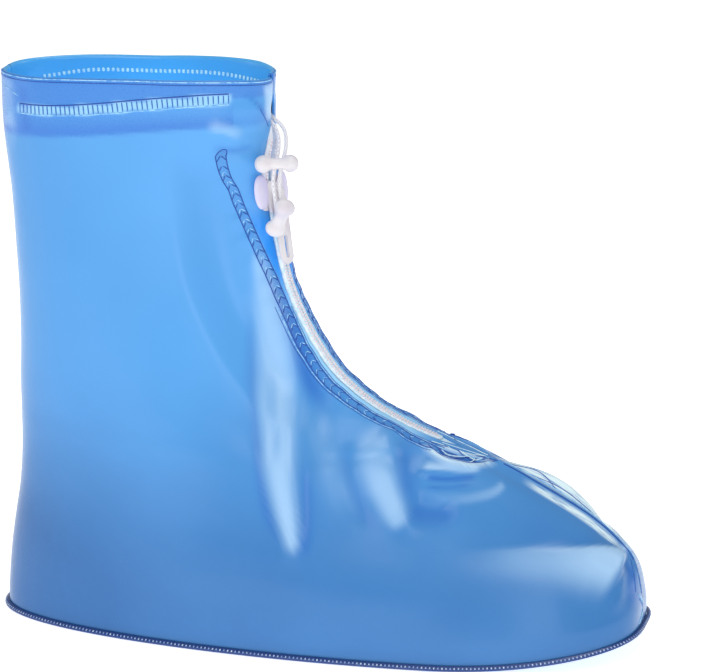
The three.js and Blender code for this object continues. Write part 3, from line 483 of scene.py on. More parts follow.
def fold_rise(side, flat, spot):
    """How far the folds, the toe seam and the zip's puckers push the film outwards."""
    away, z = np.abs(flat[..., 1]), flat[..., 2]
    x, height = spot[..., 0], spot[..., 2]
    rise = SIDE_FOLDS[side].at(x, height) * smooth(1.0, 9.0, away)
    rise = rise + GATHERS[side].at(x, away) * smooth(GATHERS_FROM, GATHERS_FULL, z) * (1 - smooth(93, 98, z))
    toe = smooth(20, 60, x) * smooth(24, 44, z) * (1 - smooth(80, 86, z))
    rise = rise + toe * (SEAM_RIDGE * bell(away, 0, 1.4) - SEAM_GROOVE * bell(away, 7, 4.5))
    if side > 0:
        lap = smooth(76, 104, x) * (1 - smooth(106, 136, x)) * smooth(36, 56, z)
        rise = rise + LAP_RISE * lap * bell(away, 6.5, 4.2)
    back, front = section(z)[:2]
    by_track = bell(away, track_away(z), 5) * smooth(88, 100, z)
    by_track = by_track * smooth(0.5, 0.75, (flat[..., 0] - back) / (front - back))
    pucker = np.sin((height - 0.62 * x) * 0.55 + 0.8 * np.sin(height * 0.13)) * (1 - smooth(205, 218, z))
    rise = rise + PUCKER_RISE * pucker * by_track
    sway = np.sin(x * 0.045 + 1.3) * np.sin(height * 0.052 + 0.6) + 0.6 * np.sin(x * 0.083 - height * 0.061)
    return rise + SWAY_RISE * sway * smooth(6, 30, z) * smooth(2, 16, away)


def film(side, turn, z, depth=0.0):
    """Points of the film at some depth under its outer face."""
    turn, z, depth = np.broadcast_arrays(*(np.asarray(value, float) for value in (turn, z, depth)))

    def bare(t, h):
        return stand(flat_skin(side, t, h))

    def face(t, h):
        spot = bare(t, h)
        lifted = spot + normal_of(bare, side, t, h) * fold_rise(side, flat_skin(side, t, h), spot)[..., None]
        lifted[..., 2] += np.interp(spot[..., 0], *RIM_LINE[side]) * smooth(232, HEIGHT, h)
        return lifted

    if not np.any(depth):
        return face(turn, z)
    return face(turn, z) - normal_of(face, side, turn, z) * depth[..., None]


def film_normal(side, turn, z):
    return unit(film(side, turn, z, -NORMAL_STEP) - film(side, turn, z))


def turn_at(side, away, z):
    """Where along the front half the film stands away from the middle by that much."""
    low, high = np.full(np.shape(z), 0.5), np.ones(np.shape(z))
    for _ in range(36):
        middle = (low + high) / 2
        wide = np.abs(flat_skin(side, middle, z)[..., 1]) > away
        low, high = np.where(wide, middle, low), np.where(wide, high, middle)
    return (low + high) / 2


def turn_at_x(x, z):
    """Where the film's outline reaches a place along the foot."""
    back, front = section(z)[:2]
    return np.arccos(np.clip(1 - 2 * (x - back) / (front - back), -1, 1)) / np.pi


def height_of_front(x):
    """Height at which the front of the outline stands at a place along the foot."""
    heights = np.linspace(30, 130, 801)
    return np.interp(-x, -section(heights)[1], heights)


def plan_spot(side, x, away):
    """Turn and height of the film over a place in plan near the foot of the zip."""
    heights = np.linspace(44, 93, 300)
    turn = turn_at(side, np.maximum(away, slot_half(heights) + 0.4), heights)
    z = np.interp(-x, -flat_skin(side, turn, heights)[:, 0], heights)
    return np.interp(z, heights, turn), z


def over_plan(side, spots):
    """A line on the film over places in plan."""
    return film(side, *np.array([plan_spot(side, *spot) for spot in spots]).T)


def runs_of(keep):
    """Unbroken runs of the places that are kept."""
    places = np.flatnonzero(keep)
    return np.split(places, np.flatnonzero(np.diff(places) > 1) + 1) if len(places) else []


def track_line(side, z):
    """Where the weld beside the zip runs at each height, and how far a turn goes there."""
    turn = turn_at(side, track_away(z), z)
    low, high = np.clip(turn - 0.004, 0, 1), np.clip(turn + 0.004, 0, 1)
    ends = [stand(flat_skin(side, t, z)) for t in (low, high)]
    return turn, np.linalg.norm(ends[1] - ends[0], axis=-1) / (high - low)


def by_zip(z, out, across):
    """A place by the zip's middle line: out in front of it and across to the left."""
    z = np.asarray(z, float)
    return stand(np.stack([section(z)[1] + out, across + 0 * z, z], -1))


# ---------------------------------------------------------------- meshes and pieces


def thick(outer, inner):
    """Points and quads of a closed sheet between two grids of the same size."""
    rows, columns = outer.shape[:2]
    shift = rows * columns
    grid = np.arange(shift).reshape(rows, columns)
    top = np.stack([grid[:-1, :-1], grid[1:, :-1], grid[1:, 1:], grid[:-1, 1:]], -1).reshape(-1, 4)
    rim = np.concatenate([grid[0, :], grid[1:, -1], grid[-1, -2::-1], grid[-2:0:-1, 0]])
    following = np.roll(rim, -1)
    border = np.stack([rim, following, following + shift, rim + shift], -1)
    points = np.concatenate([outer.reshape(-1, 3), inner.reshape(-1, 3)])
    return points, np.concatenate([top, top[:, ::-1] + shift, border])


def band_faces(rings, size, closed=False):
    """Quads between rings of points that follow one another."""
    faces = []
    for i in range(rings if closed else rings - 1):
        a, b = i * size, (i + 1) % rings * size
        faces += [(a + k, a + (k + 1) % size, b + (k + 1) % size, b + k) for k in range(size)]
    return faces


def end_faces(rings, size):
    """The two faces that close the ends of a row of rings."""
    return [tuple(range(size))[::-1], tuple(range((rings - 1) * size, rings * size))]


def tube(path, radius, sides):
    """Points and faces of a round cord along a path, with rounded ends."""
    path = np.asarray(path, float)
    ahead = unit(np.gradient(path, axis=0))
    across = np.cross(ahead[0], (0.3, 0.2, 1.0))
    rings = []
    for place, direction in zip(path, ahead):
        across = unit(across - direction * (across @ direction))
        rings.append((place, across, np.cross(direction, across), direction))
    angle = np.arange(sides) * 2 * np.pi / sides
    caps = [(0.95, 0.31), (0.8, 0.6), (0.45, 0.89)]
    reach = [(0, -a, b) for a, b in caps] + [(i, 0.0, 1.0) for i in range(len(rings))]
    reach += [(len(rings) - 1, a, b) for a, b in caps[::-1]]
    loops = []
    for i, shift, share in reach:
        place, side, up, direction = rings[i]
        ring = np.cos(angle)[:, None] * side + np.sin(angle)[:, None] * up
        loops.append(place + direction * shift * radius + ring * radius * share)
    return np.concatenate(loops), band_faces(len(loops), sides) + end_faces(len(loops), sides)


def turned(profile, middle, axis, sides, flatten=1.0):
    """Points and faces of a closed body turned about an axis, from rows of (along, radius)."""
    axis = unit(np.asarray(axis, float))
    across = unit(np.cross(axis, (0.1, 0.2, 1.0)))
    up = np.cross(axis, across)
    angle = np.arange(sides) * 2 * np.pi / sides
    ring = np.cos(angle)[:, None] * across + flatten * np.sin(angle)[:, None] * up
    loops = [middle + axis * along + ring * radius for along, radius in profile[1:-1]]
    points = np.concatenate(loops + [[middle + axis * profile[0][0]], [middle + axis * profile[-1][0]]])
    start, end, last = len(points) - 2, len(points) - 1, (len(loops) - 1) * sides
    faces = band_faces(len(loops), sides)
    faces += [(start, (k + 1) % sides, k) for k in range(sides)]
    faces += [(end, last + k, last + (k + 1) % sides) for k in range(sides)]
    return points, faces


def add_object(name, data):
    item = bpy.data.objects.new(name, data)
    bpy.context.scene.collection.objects.link(item)
    return item


def settle(piece):
    """Turns a piece and its modifiers into a plain mesh."""
    piece.data = bpy.data.meshes.new_from_object(
        piece.evaluated_get(bpy.context.evaluated_depsgraph_get()))
    piece.modifiers.clear()
    return piece.data


def make_piece(name, points, faces, materials, slots=None, marks=None, crisp=None):
    """A mesh object from millimetres, turned outwards, with its finishes and vertex marks."""
    mesh = bpy.data.meshes.new(name)
    mesh.from_pydata((np.asarray(points) * MM).tolist(), [], [tuple(int(v) for v in f) for f in faces])
    for material in materials:
        mesh.materials.append(material)
    if slots is not None:
        mesh.polygons.foreach_set("material_index", np.asarray(slots, dtype=np.int32))
    for mark, values in (marks or {}).items():
        layer = mesh.attributes.new(mark, "FLOAT", "POINT")
        layer.data.foreach_set("value", np.asarray(values, dtype=np.float32).ravel())
    mesh.shade_smooth()
    if crisp:
        mesh.set_sharp_from_angle(angle=math.radians(crisp))
    mesh.update()
    face_out(mesh)
    return add_object(name, mesh)


def face_out(mesh):
    """Turns a closed mesh's faces outwards, by the sign of its volume."""
    mesh.calc_loop_triangles()
    spots = np.empty(len(mesh.vertices) * 3)
    mesh.vertices.foreach_get("co", spots)
    corners = np.empty(len(mesh.loop_triangles) * 3, dtype=np.int32)
    mesh.loop_triangles.foreach_get("vertices", corners)
    a, b, c = spots.reshape(-1, 3)[corners.reshape(-1, 3).T]
    if np.einsum("ij,ij->i", a, np.cross(b, c)).sum() < 0:
        mesh.flip_normals()


def place(piece, body, slot, nodes=()):
    """Puts a piece on a body and hides the solids that it stands for."""
    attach(piece, body)
    if nodes:
        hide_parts(*nodes)
    return piece


def rounded_copy(name, node, material, round_off):
    """A copy of a hard solid with its edges rounded off."""
    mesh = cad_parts[node].data.copy()
    mesh.name = name
    build = bmesh.new()
    build.from_mesh(mesh)
    bmesh.ops.remove_doubles(build, verts=build.verts, dist=2e-6)
    bmesh.ops.dissolve_limit(build, angle_limit=math.radians(2), verts=build.verts, edges=build.edges)
    build.to_mesh(mesh)
    build.free()
    mesh.materials.clear()
    mesh.materials.append(material)
    piece = add_object(name, mesh)
    bevel = piece.modifiers.new("Rounded edges", "BEVEL")
    bevel.width, bevel.segments, bevel.limit_method = round_off * MM, 3, "ANGLE"
    bevel.angle_limit, bevel.use_clamp_overlap = math.radians(24), True
    mesh.shade_smooth()
    settle(piece).set_sharp_from_angle(angle=math.radians(50))
    return piece


# ---------------------------------------------------------------- node trees


class Value:
    """A number socket of a node tree. Python's operators on it add Math nodes."""

    def __init__(self, tree, socket):
        self.tree, self.socket = tree, socket

    def math(self, operation, other=None, flipped=False):
        node = self.tree.nodes.new("ShaderNodeMath")
        node.operation = operation
        terms = [self] if other is None else [other, self] if flipped else [self, other]
        for socket, term in zip(node.inputs, terms):
            feed(self.tree, term, socket)
        return Value(self.tree, node.outputs[0])

    def __add__(self, other):
        return self.math("ADD", other)

    __radd__ = __add__

    def __sub__(self, other):
        return self.math("SUBTRACT", other)

    def __rsub__(self, other):
        return self.math("SUBTRACT", other, True)

    def __mul__(self, other):
        return self.math("MULTIPLY", other)

    __rmul__ = __mul__


def feed(tree, value, socket):
    if isinstance(value, Value):
        tree.links.new(value.socket, socket)
    else:
        socket.default_value = value


class Nodes:
    """A node tree under construction."""

    def __init__(self, tree):
        self.tree = tree

    def add(self, kind, settings=None, inputs=None, output=0):
        node = self.tree.nodes.new(kind)
        for key, value in (settings or {}).items():
            setattr(node, key, value)
        for key, value in (inputs or {}).items():
            feed(self.tree, value, node.inputs[key])
        return Value(self.tree, node.outputs[output])


# ---------------------------------------------------------------- rows of small shapes along a path


def row_tree(name, chevron):
    """Node tree that sets a rounded bar, or a pair of them as a chevron, at even steps along a path."""
    tree = bpy.data.node_groups.new(name, "GeometryNodeTree")
    sizes = dict.fromkeys(("Step", "Length", "Width", "Rise", "Lean"), "Float")
    for label, kind in {"Geometry": "Geometry", **sizes, "Finish": "Material"}.items():
        tree.interface.new_socket(label, in_out="INPUT", socket_type=f"NodeSocket{kind}")
    tree.interface.new_socket("Geometry", in_out="OUTPUT", socket_type="NodeSocketGeometry")
    g = Nodes(tree)
    given = {socket.name: Value(tree, socket) for socket in tree.nodes.new("NodeGroupInput").outputs}

    def vector(**axes):
        return g.add("ShaderNodeCombineXYZ", {}, axes)

    size = vector(X=given["Width"], Y=given["Length"], Z=given["Rise"])
    bar = g.add("GeometryNodeMeshCube", {}, {"Size": size}, "Mesh")
    shape = g.add("GeometryNodeSubdivisionSurface", {}, {"Mesh": bar, "Level": 1, "Edge Crease": BAR_CREASE})
    if chevron:
        both = tree.nodes.new("GeometryNodeJoinGeometry")
        for sign in (-1, 1):
            arm = g.add("GeometryNodeTransform", {}, {
                "Geometry": shape, "Translation": vector(Y=given["Length"] * (sign * ARM_SHIFT)),
                "Rotation": vector(Z=given["Lean"] * sign)})
            feed(tree, arm, both.inputs[0])
        shape = Value(tree, both.outputs[0])
    line = g.add("GeometryNodeMeshToCurve", {}, {"Mesh": given["Geometry"]}, "Curve")
    even = g.add("GeometryNodeResampleCurve", {"mode": "LENGTH"}, {"Curve": line, "Length": given["Step"]})
    ahead = g.add("GeometryNodeInputTangent")
    out = g.add("GeometryNodeInputNamedAttribute", {"data_type": "FLOAT_VECTOR"}, {"Name": "out"})
    aim = g.add("FunctionNodeAlignRotationToVector", {"axis": "X"}, {"Vector": ahead})
    aim = g.add("FunctionNodeAlignRotationToVector", {"axis": "Z", "pivot_axis": "X"},
                {"Rotation": aim, "Vector": out})
    row = g.add("GeometryNodeInstanceOnPoints", {}, {"Points": even, "Instance": shape, "Rotation": aim},
                "Instances")
    row = g.add("GeometryNodeRealizeInstances", {}, {"Geometry": row})
    row = g.add("GeometryNodeSetShadeSmooth", {}, {"Geometry": row})
    row = g.add("GeometryNodeSetMaterial", {}, {"Geometry": row, "Material": given["Finish"]})
    feed(tree, row, tree.nodes.new("NodeGroupOutput").inputs[0])
    return tree


def row_along(name, path, normals, material, step, length, width, rise, lean=0.0):
    """A piece of small raised bars, or chevrons where lean is given, along a path with its normals."""
    mesh = bpy.data.meshes.new(name)
    edges = [(i, i + 1) for i in range(len(path) - 1)]
    mesh.from_pydata((np.asarray(path) * MM).tolist(), edges, [])
    layer = mesh.attributes.new("out", "FLOAT_VECTOR", "POINT")
    layer.data.foreach_set("vector", np.asarray(normals, dtype=np.float32).ravel())
    piece = add_object(name, mesh)
    key = "Chevron row" if lean else "Bar row"
    tree = bpy.data.node_groups.get(key) or row_tree(key, bool(lean))
    modifier = piece.modifiers.new("Row", "NODES")
    modifier.node_group = tree
    values = {"Step": step * MM, "Length": length * MM, "Width": width * MM, "Rise": rise * MM, "Lean": lean,
              "Finish": material}
    for item in tree.interface.items_tree:
        if item.in_out == "INPUT" and item.name in values:
            modifier[item.identifier] = values[item.name]
    if not settle(piece).polygons:
        raise RuntimeError(f"{name} came out empty")
    return piece


# ---------------------------------------------------------------- finishes


class Finish(Nodes):
    """A material under construction."""

    def __init__(self, name):
        self.material = bpy.data.materials.new(FINISH_PREFIX + name)
        self.material.use_nodes = True
        super().__init__(self.material.node_tree)
        self.tree.nodes.clear()

    def spot(self):
        return self.add("ShaderNodeTexCoord", output="Object")

    def axes(self, vector):
        node = self.tree.nodes.new("ShaderNodeSeparateXYZ")
        feed(self.tree, vector, node.inputs[0])
        return [Value(self.tree, socket) for socket in node.outputs]

    def scaled(self, vector, sizes):
        return self.add("ShaderNodeVectorMath", {"operation": "MULTIPLY"}, {0: vector, 1: sizes})

    def noise(self, vector, scale, detail=2.0, roughness=0.5):
        return self.add("ShaderNodeTexNoise", {}, {"Vector": vector, "Scale": scale, "Detail": detail,
                                                   "Roughness": roughness})

    def mark(self, name):
        return self.add("ShaderNodeAttribute", {"attribute_name": name}, output="Fac")

    def step(self, value, low, high):
        return self.add("ShaderNodeMapRange", {"interpolation_type": "SMOOTHSTEP"},
                        {"Value": value, "From Min": low, "From Max": high})

    def colour(self, share, *ends):
        first, second = (end if isinstance(end, Value) else (*end, 1.0) for end in ends)
        return self.add("ShaderNodeMix", {"data_type": "RGBA"}, {0: share, 6: first, 7: second}, output=2)

    def bump(self, height, distance, strength=1.0, under=None):
        inputs = {"Height": height, "Distance": distance, "Strength": strength}
        if under is not None:
            inputs["Normal"] = under
        return self.add("ShaderNodeBump", {}, inputs)

    def done(self, **inputs):
        named = {key.replace("_", " "): value for key, value in inputs.items()}
        shader = self.add("ShaderNodeBsdfPrincipled", {}, named)
        feed(self.tree, shader, self.tree.nodes.new("ShaderNodeOutputMaterial").inputs["Surface"])
        return self.material


def film_finish(look):
    """Glossy blue film: painted light up the leg and painted shade at the heel, doubled at the hem, welded
    beside the zip, with painted highlights on the folds' crests and painted shade between folds and in the
    creases at the zip's foot.
    """
    f = Finish("blue_film")
    spot = f.spot()
    x, _, z = f.axes(spot)
    drift = f.noise(spot, 14.0)
    fine = f.noise(spot, 240.0)
    grain = f.noise(spot, 1400.0, 3.0)
    wave = f.noise(spot, 42.0)
    streak = f.noise(f.scaled(spot, (60.0, 900.0, 160.0)), 1.0)
    # Painted light and shade: lighter up the leg and darker at the heel, with a random drift of tone
    height = f.step(z, 0.018, 0.138)
    heel_shade = 1 - f.step(x, -0.15, -0.05)
    tone = height * 0.72 + (drift - 0.5) * 0.3 + 0.14 - heel_shade * 0.26
    hem = f.mark("hem")
    band = 1 - f.step(f.mark("track"), TRACK_HALF - 0.3, TRACK_HALF + 0.6)
    colour = f.colour(tone, look.deep, look.light)
    # Over the film: speckle, hem, ladder, then painted shade, painted highlights and painted gloss on the
    # folds, the weld band, the bare strip, a painted highlight low on it and painted shade in the gathers'
    # creases
    for share, over in (
        ((fine - 0.42) * 0.06, look.light), (hem * 0.85, look.hem), (f.mark("ladder") * 0.7, look.clear),
        (f.mark("deep") * 0.8, look.fold), (f.mark("fold_highlight") * 0.75, look.fold_highlight),
        (f.mark("gloss_highlight") * f.step(streak, 0.2, 0.55), look.gloss_highlight), (band * 0.22, look.weld),
        (f.mark("clear") * 0.7, look.strip), (f.mark("pale") * 0.75, look.clear),
        (f.mark("crease") * 0.75, look.weld),
    ):
        colour = f.colour(share, colour, over)
    normal = f.bump(wave, 0.0012, 0.2, f.bump(grain, 0.00005, 0.15))
    roughness = 0.25 + (grain - 0.5) * 0.12 + hem * 0.04
    return f.done(Base_Color=colour, Roughness=roughness, Normal=normal, IOR=1.46, Coat_Weight=0.06,
                  Coat_Roughness=0.12, Specular_IOR_Level=0.3)


def lining_finish(look):
    """Inner face of the film, brighter towards the collar where light comes in."""
    f = Finish("film_inside")
    spot = f.spot()
    height = f.axes(spot)[2]
    drift = f.noise(spot, 16.0)
    grain = f.noise(spot, 1400.0, 3.0)
    colour = f.colour(f.step(height, 0.12, 0.25) * 0.8 + (drift - 0.5) * 0.3, look.deep, look.inside)
    return f.done(Base_Color=colour, Roughness=0.3 + (grain - 0.5) * 0.12, Normal=f.bump(grain, 0.00006, 0.35),
                  IOR=1.5, Coat_Weight=0.2, Coat_Roughness=0.15)


def weld_finish(name, dark, pale, share):
    """Pressed weld lines: the film's colour, deeper where it is melted together. The same finish colours the
    lines of painted highlight and painted shade.
    """
    f = Finish(name)
    spot = f.spot()
    fleck = f.noise(spot, 520.0, 3.0, 0.6)
    grain = f.noise(spot, 1600.0)
    colour = f.colour(f.step(fleck, share, share + 0.22), dark, pale)
    return f.done(Base_Color=colour, Roughness=0.22 + grain * 0.14, Normal=f.bump(grain, 0.00008, 0.4),
                  IOR=1.52)


def tape_finish(colour):
    """Clear zip tape, cloudy with fine ribs along it."""
    f = Finish("zip_tape")
    spot = f.spot()
    drift = f.noise(spot, 180.0, 3.0)
    rib = f.add("ShaderNodeTexWave", {"wave_type": "BANDS", "bands_direction": "Z"},
                {"Vector": spot, "Scale": 420.0, "Distortion": 1.5, "Detail": 1.0})
    tint = f.colour(drift * 0.6 + rib * 0.2, colour, (0.9, 0.96, 1.0))
    return f.done(Base_Color=tint, Roughness=0.3 + drift * 0.2, Normal=f.bump(rib, 0.0001, 0.5), IOR=1.5)


def bed_finish(colour, top):
    """Glossy base of the zip's rows, whiter above the slider where the rows are parted."""
    f = Finish("zip_bed")
    spot = f.spot()
    fleck = f.noise(spot, 520.0, 3.0, 0.6)
    grain = f.noise(spot, 1600.0)
    tint = f.colour(f.step(f.axes(spot)[2], 0.196, 0.206), colour, top)
    tint = f.colour(f.step(fleck, 0.4, 0.62) * 0.8, tint, (0.9, 0.95, 1.0))
    return f.done(Base_Color=tint, Roughness=0.24 + grain * 0.14, Normal=f.bump(grain, 0.00008, 0.4), IOR=1.5)


def nylon_finish(colour, shade):
    """White nylon of the zip's rows, with a faint warm shade between the turns."""
    f = Finish("zip_nylon")
    spot = f.spot()
    drift = f.noise(spot, 320.0, 3.0)
    fleck = f.noise(spot, 2600.0)
    tint = f.colour(f.step(drift, 0.4, 0.75) * 0.5, colour, shade)
    return f.done(Base_Color=tint, Roughness=0.42 + fleck * 0.16, Normal=f.bump(fleck, 0.00006, 0.4), IOR=1.5)


def plastic_finish(name, colour, shade):
    """Moulded plastic with soft shading and fine mould grain."""
    f = Finish(name)
    spot = f.spot()
    drift = f.noise(spot, 90.0)
    grain = f.noise(spot, 1500.0, 3.0)
    scuff = f.step(f.noise(spot, 420.0, 4.0, 0.65), 0.62, 0.75)
    tint = f.colour(f.step(drift, 0.35, 0.75) * 0.55 + scuff * 0.12, colour, shade)
    normal = f.bump(grain, 0.00008, 0.35, f.bump(drift, 0.0004, 0.2))
    return f.done(Base_Color=tint, Roughness=0.34 + grain * 0.12 + scuff * 0.12, Normal=normal, IOR=1.5)


def cord_finish(colour, shade):
    """White braided cord: crossing strands that follow its length."""
    f = Finish("white_cord")
    around, along = f.mark("around") * 6.2832 * STRANDS, f.mark("along") * STRAND_PITCH
    braid = (around + along).math("SINE").math("MAXIMUM", (around - along).math("SINE"))
    tint = f.colour(f.step(braid, 0.2, 0.95), shade, colour)
    return f.done(Base_Color=tint, Roughness=0.62 - braid * 0.08, Normal=f.bump(braid, 0.00015, 0.5), IOR=1.5)


def sole_finish(look):
    """Sole sheet of thicker film with a fine raised grip pattern."""
    f = Finish("sole_vinyl")
    spot = f.spot()
    cell = f.add("ShaderNodeTexVoronoi", {"feature": "F1"},
                 {"Vector": f.scaled(spot, (1.0, 1.0, 0.0)), "Scale": 260.0, "Randomness": 0.15}, "Distance")
    dot = 1 - f.step(cell, 0.22, 0.42)
    drift = f.noise(spot, 40.0, 3.0)
    colour = f.colour(dot * 0.5 + (drift - 0.5) * 0.4, look.deep, look.light)
    return f.done(Base_Color=colour, Roughness=0.42 + drift * 0.15 - dot * 0.1, Normal=f.bump(dot, 0.0006, 0.8),
                  IOR=1.52)


def finish(key):
    """A finish by its name, made once."""
    made = bpy.data.materials.get(FINISH_PREFIX + key)
    if made:
        return made
    look = bpy.context.scene.shoe_cover
    vinyl, hard, cord = look.film, look.zip, look.cord
    # Welds, and lines of painted highlight, painted shade and painted light: melted colour, colour of the
    # flecks, share of the melted colour
    welds = {
        "weld_line": (vinyl.weld, vinyl.light, 0.68), "weld_bright": (vinyl.clear, (0.8, 1.0, 1.0), 0.3),
        "weld_soft": ((0.02, 0.14, 0.52), vinyl.light, 0.56), "weld_lit": (vinyl.clear, (0.6, 0.95, 1.0), 0.35),
        "weld_tick": ((0.28, 0.42, 0.74), (0.72, 0.82, 0.96), 0.42),
        "weld_pale": (vinyl.light, vinyl.clear, 0.38), "welt_vinyl": (vinyl.welt, vinyl.deep, 0.62),
    }
    if key in welds:
        return weld_finish(key, *welds[key])
    makers = {
        "blue_film": (film_finish, vinyl), "film_inside": (lining_finish, vinyl),
        "sole_vinyl": (sole_finish, vinyl), "zip_tape": (tape_finish, hard.tape),
        "zip_bed": (bed_finish, hard.bed, (0.84, 0.83, 0.87)),
        "zip_nylon": (nylon_finish, hard.nylon, hard.shade),
        "lilac_plastic": (plastic_finish, key, hard.lilac, hard.plastic),
        "white_plastic": (plastic_finish, key, hard.plastic, hard.plastic_shade),
        "white_cord": (cord_finish, cord.colour, cord.shade),
    }
    maker, *looks = makers[key]
    return maker(*looks)


# ---------------------------------------------------------------- settings


def tint(name, description, default):
    return FloatVectorProperty(name=name, description=description, default=default, size=3, min=0.0, max=1.0,
                               subtype="COLOR")


def length(name, description, default):
    return FloatProperty(name=name, description=description, default=default, min=0.00005, max=0.1,
                         subtype="DISTANCE", unit="LENGTH")


def power(name, description, default):
    return FloatProperty(name=name, description=description, default=default, min=0.0, unit="POWER")


class FilmSettings(bpy.types.PropertyGroup):
    # Light and deep: the film's blue under painted light up the leg and in painted shade low down; the sole and
    # the welts also use them as plain colours
    light: tint("Light", "Film where light fills the leg", (0.116, 0.415, 0.875))
    deep: tint("Deep", "Film low on the foot", (0.039, 0.162, 0.43))
    hem: tint("Hem", "Film doubled at the collar", (0.05, 0.2, 0.66))
    # Painted highlight on the crests of folds
    fold_highlight: tint("Cloud", "Film stretched cloudy on a fold", (0.5, 0.75, 1.0))
    # Painted gloss highlight beside the toe seam and on the gathers
    gloss_highlight: tint("Gloss", "Glossy film lapped over the toe seam", (0.78, 0.95, 1.0))
    # Painted shade between folds
    fold: tint("Fold", "Film lying deep between folds", (0.02, 0.13, 0.56))
    strip: tint("Strip", "Bare strip between the weld and the zip", (0.0, 0.27, 0.95))
    # Painted light on the inner face, where light comes in at the collar
    inside: tint("Inside", "Inner face of the collar", (0.1, 0.55, 1.0))
    # Also the painted shade in the hollows of the gathers
    weld: tint("Weld", "Pressed weld lines and creases", (0.008, 0.075, 0.4))
    # Also a painted highlight low on the strip beside the zip
    clear: tint("Clear strip", "Clear strip beside the zip", (0.42, 0.78, 1.0))
    welt: tint("Welt", "Welded rim of the sole", (0.012, 0.05, 0.22))
    ladder_step: length("Ladder step", "Distance between the bars of the collar's weld", 0.0022)
    chevron_step: length("Chevron step", "Distance between the chevrons beside the zip", 0.0046)
    welt_step: length("Welt step", "Distance between the ticks of the welt", 0.0018)


class ZipSettings(bpy.types.PropertyGroup):
    nylon: tint("Nylon", "Rows of the zip", (0.84, 0.75, 0.8))
    shade: tint("Nylon shade", "Shade between the turns of the rows", (0.66, 0.54, 0.6))
    bed: tint("Bed", "Glossy edge of the rows", (0.62, 0.84, 0.97))
    # Painted shade: the slider's wings take this darker copy of the plastic
    lilac: tint("Lilac plastic", "Wings of the slider", (0.7, 0.66, 0.9))
    tape: tint("Tape", "Clear tape that carries the rows", (0.5, 0.78, 0.95))
    plastic: tint("Plastic", "Slider, pull and toggles", (0.8, 0.765, 0.78))
    plastic_shade: tint("Plastic shade", "Soft lilac shade of the plastic", (0.58, 0.52, 0.62))
    tooth_step: length("Tooth step", "Distance between the teeth of a row", 0.00135)


class CordSettings(bpy.types.PropertyGroup):
    colour: tint("Cord", "Drawstring", (0.92, 0.91, 0.94))
    shade: tint("Cord shade", "Between the drawstring's strands", (0.7, 0.68, 0.74))
    diameter: length("Diameter", "Thickness of the drawstring", 0.0018)


class StageSettings(bpy.types.PropertyGroup):
    floor: tint("Floor", "Plain pale floor", (0.93, 0.93, 0.93))
    key: power("Key light", "Strength of the large light at the upper left", 12.0)
    inside: power("Inside light", "Light that comes through the film into the leg", 0.05)


class CoverSettings(bpy.types.PropertyGroup):
    film: PointerProperty(type=FilmSettings, name="Film", description="Film of the upper and the sole")
    zip: PointerProperty(type=ZipSettings, name="Zip", description="Zip and hard plastic pieces")
    cord: PointerProperty(type=CordSettings, name="Cord", description="Drawstring")
    stage: PointerProperty(type=StageSettings, name="Stage", description="Floor and lights")


# ---------------------------------------------------------------- operators


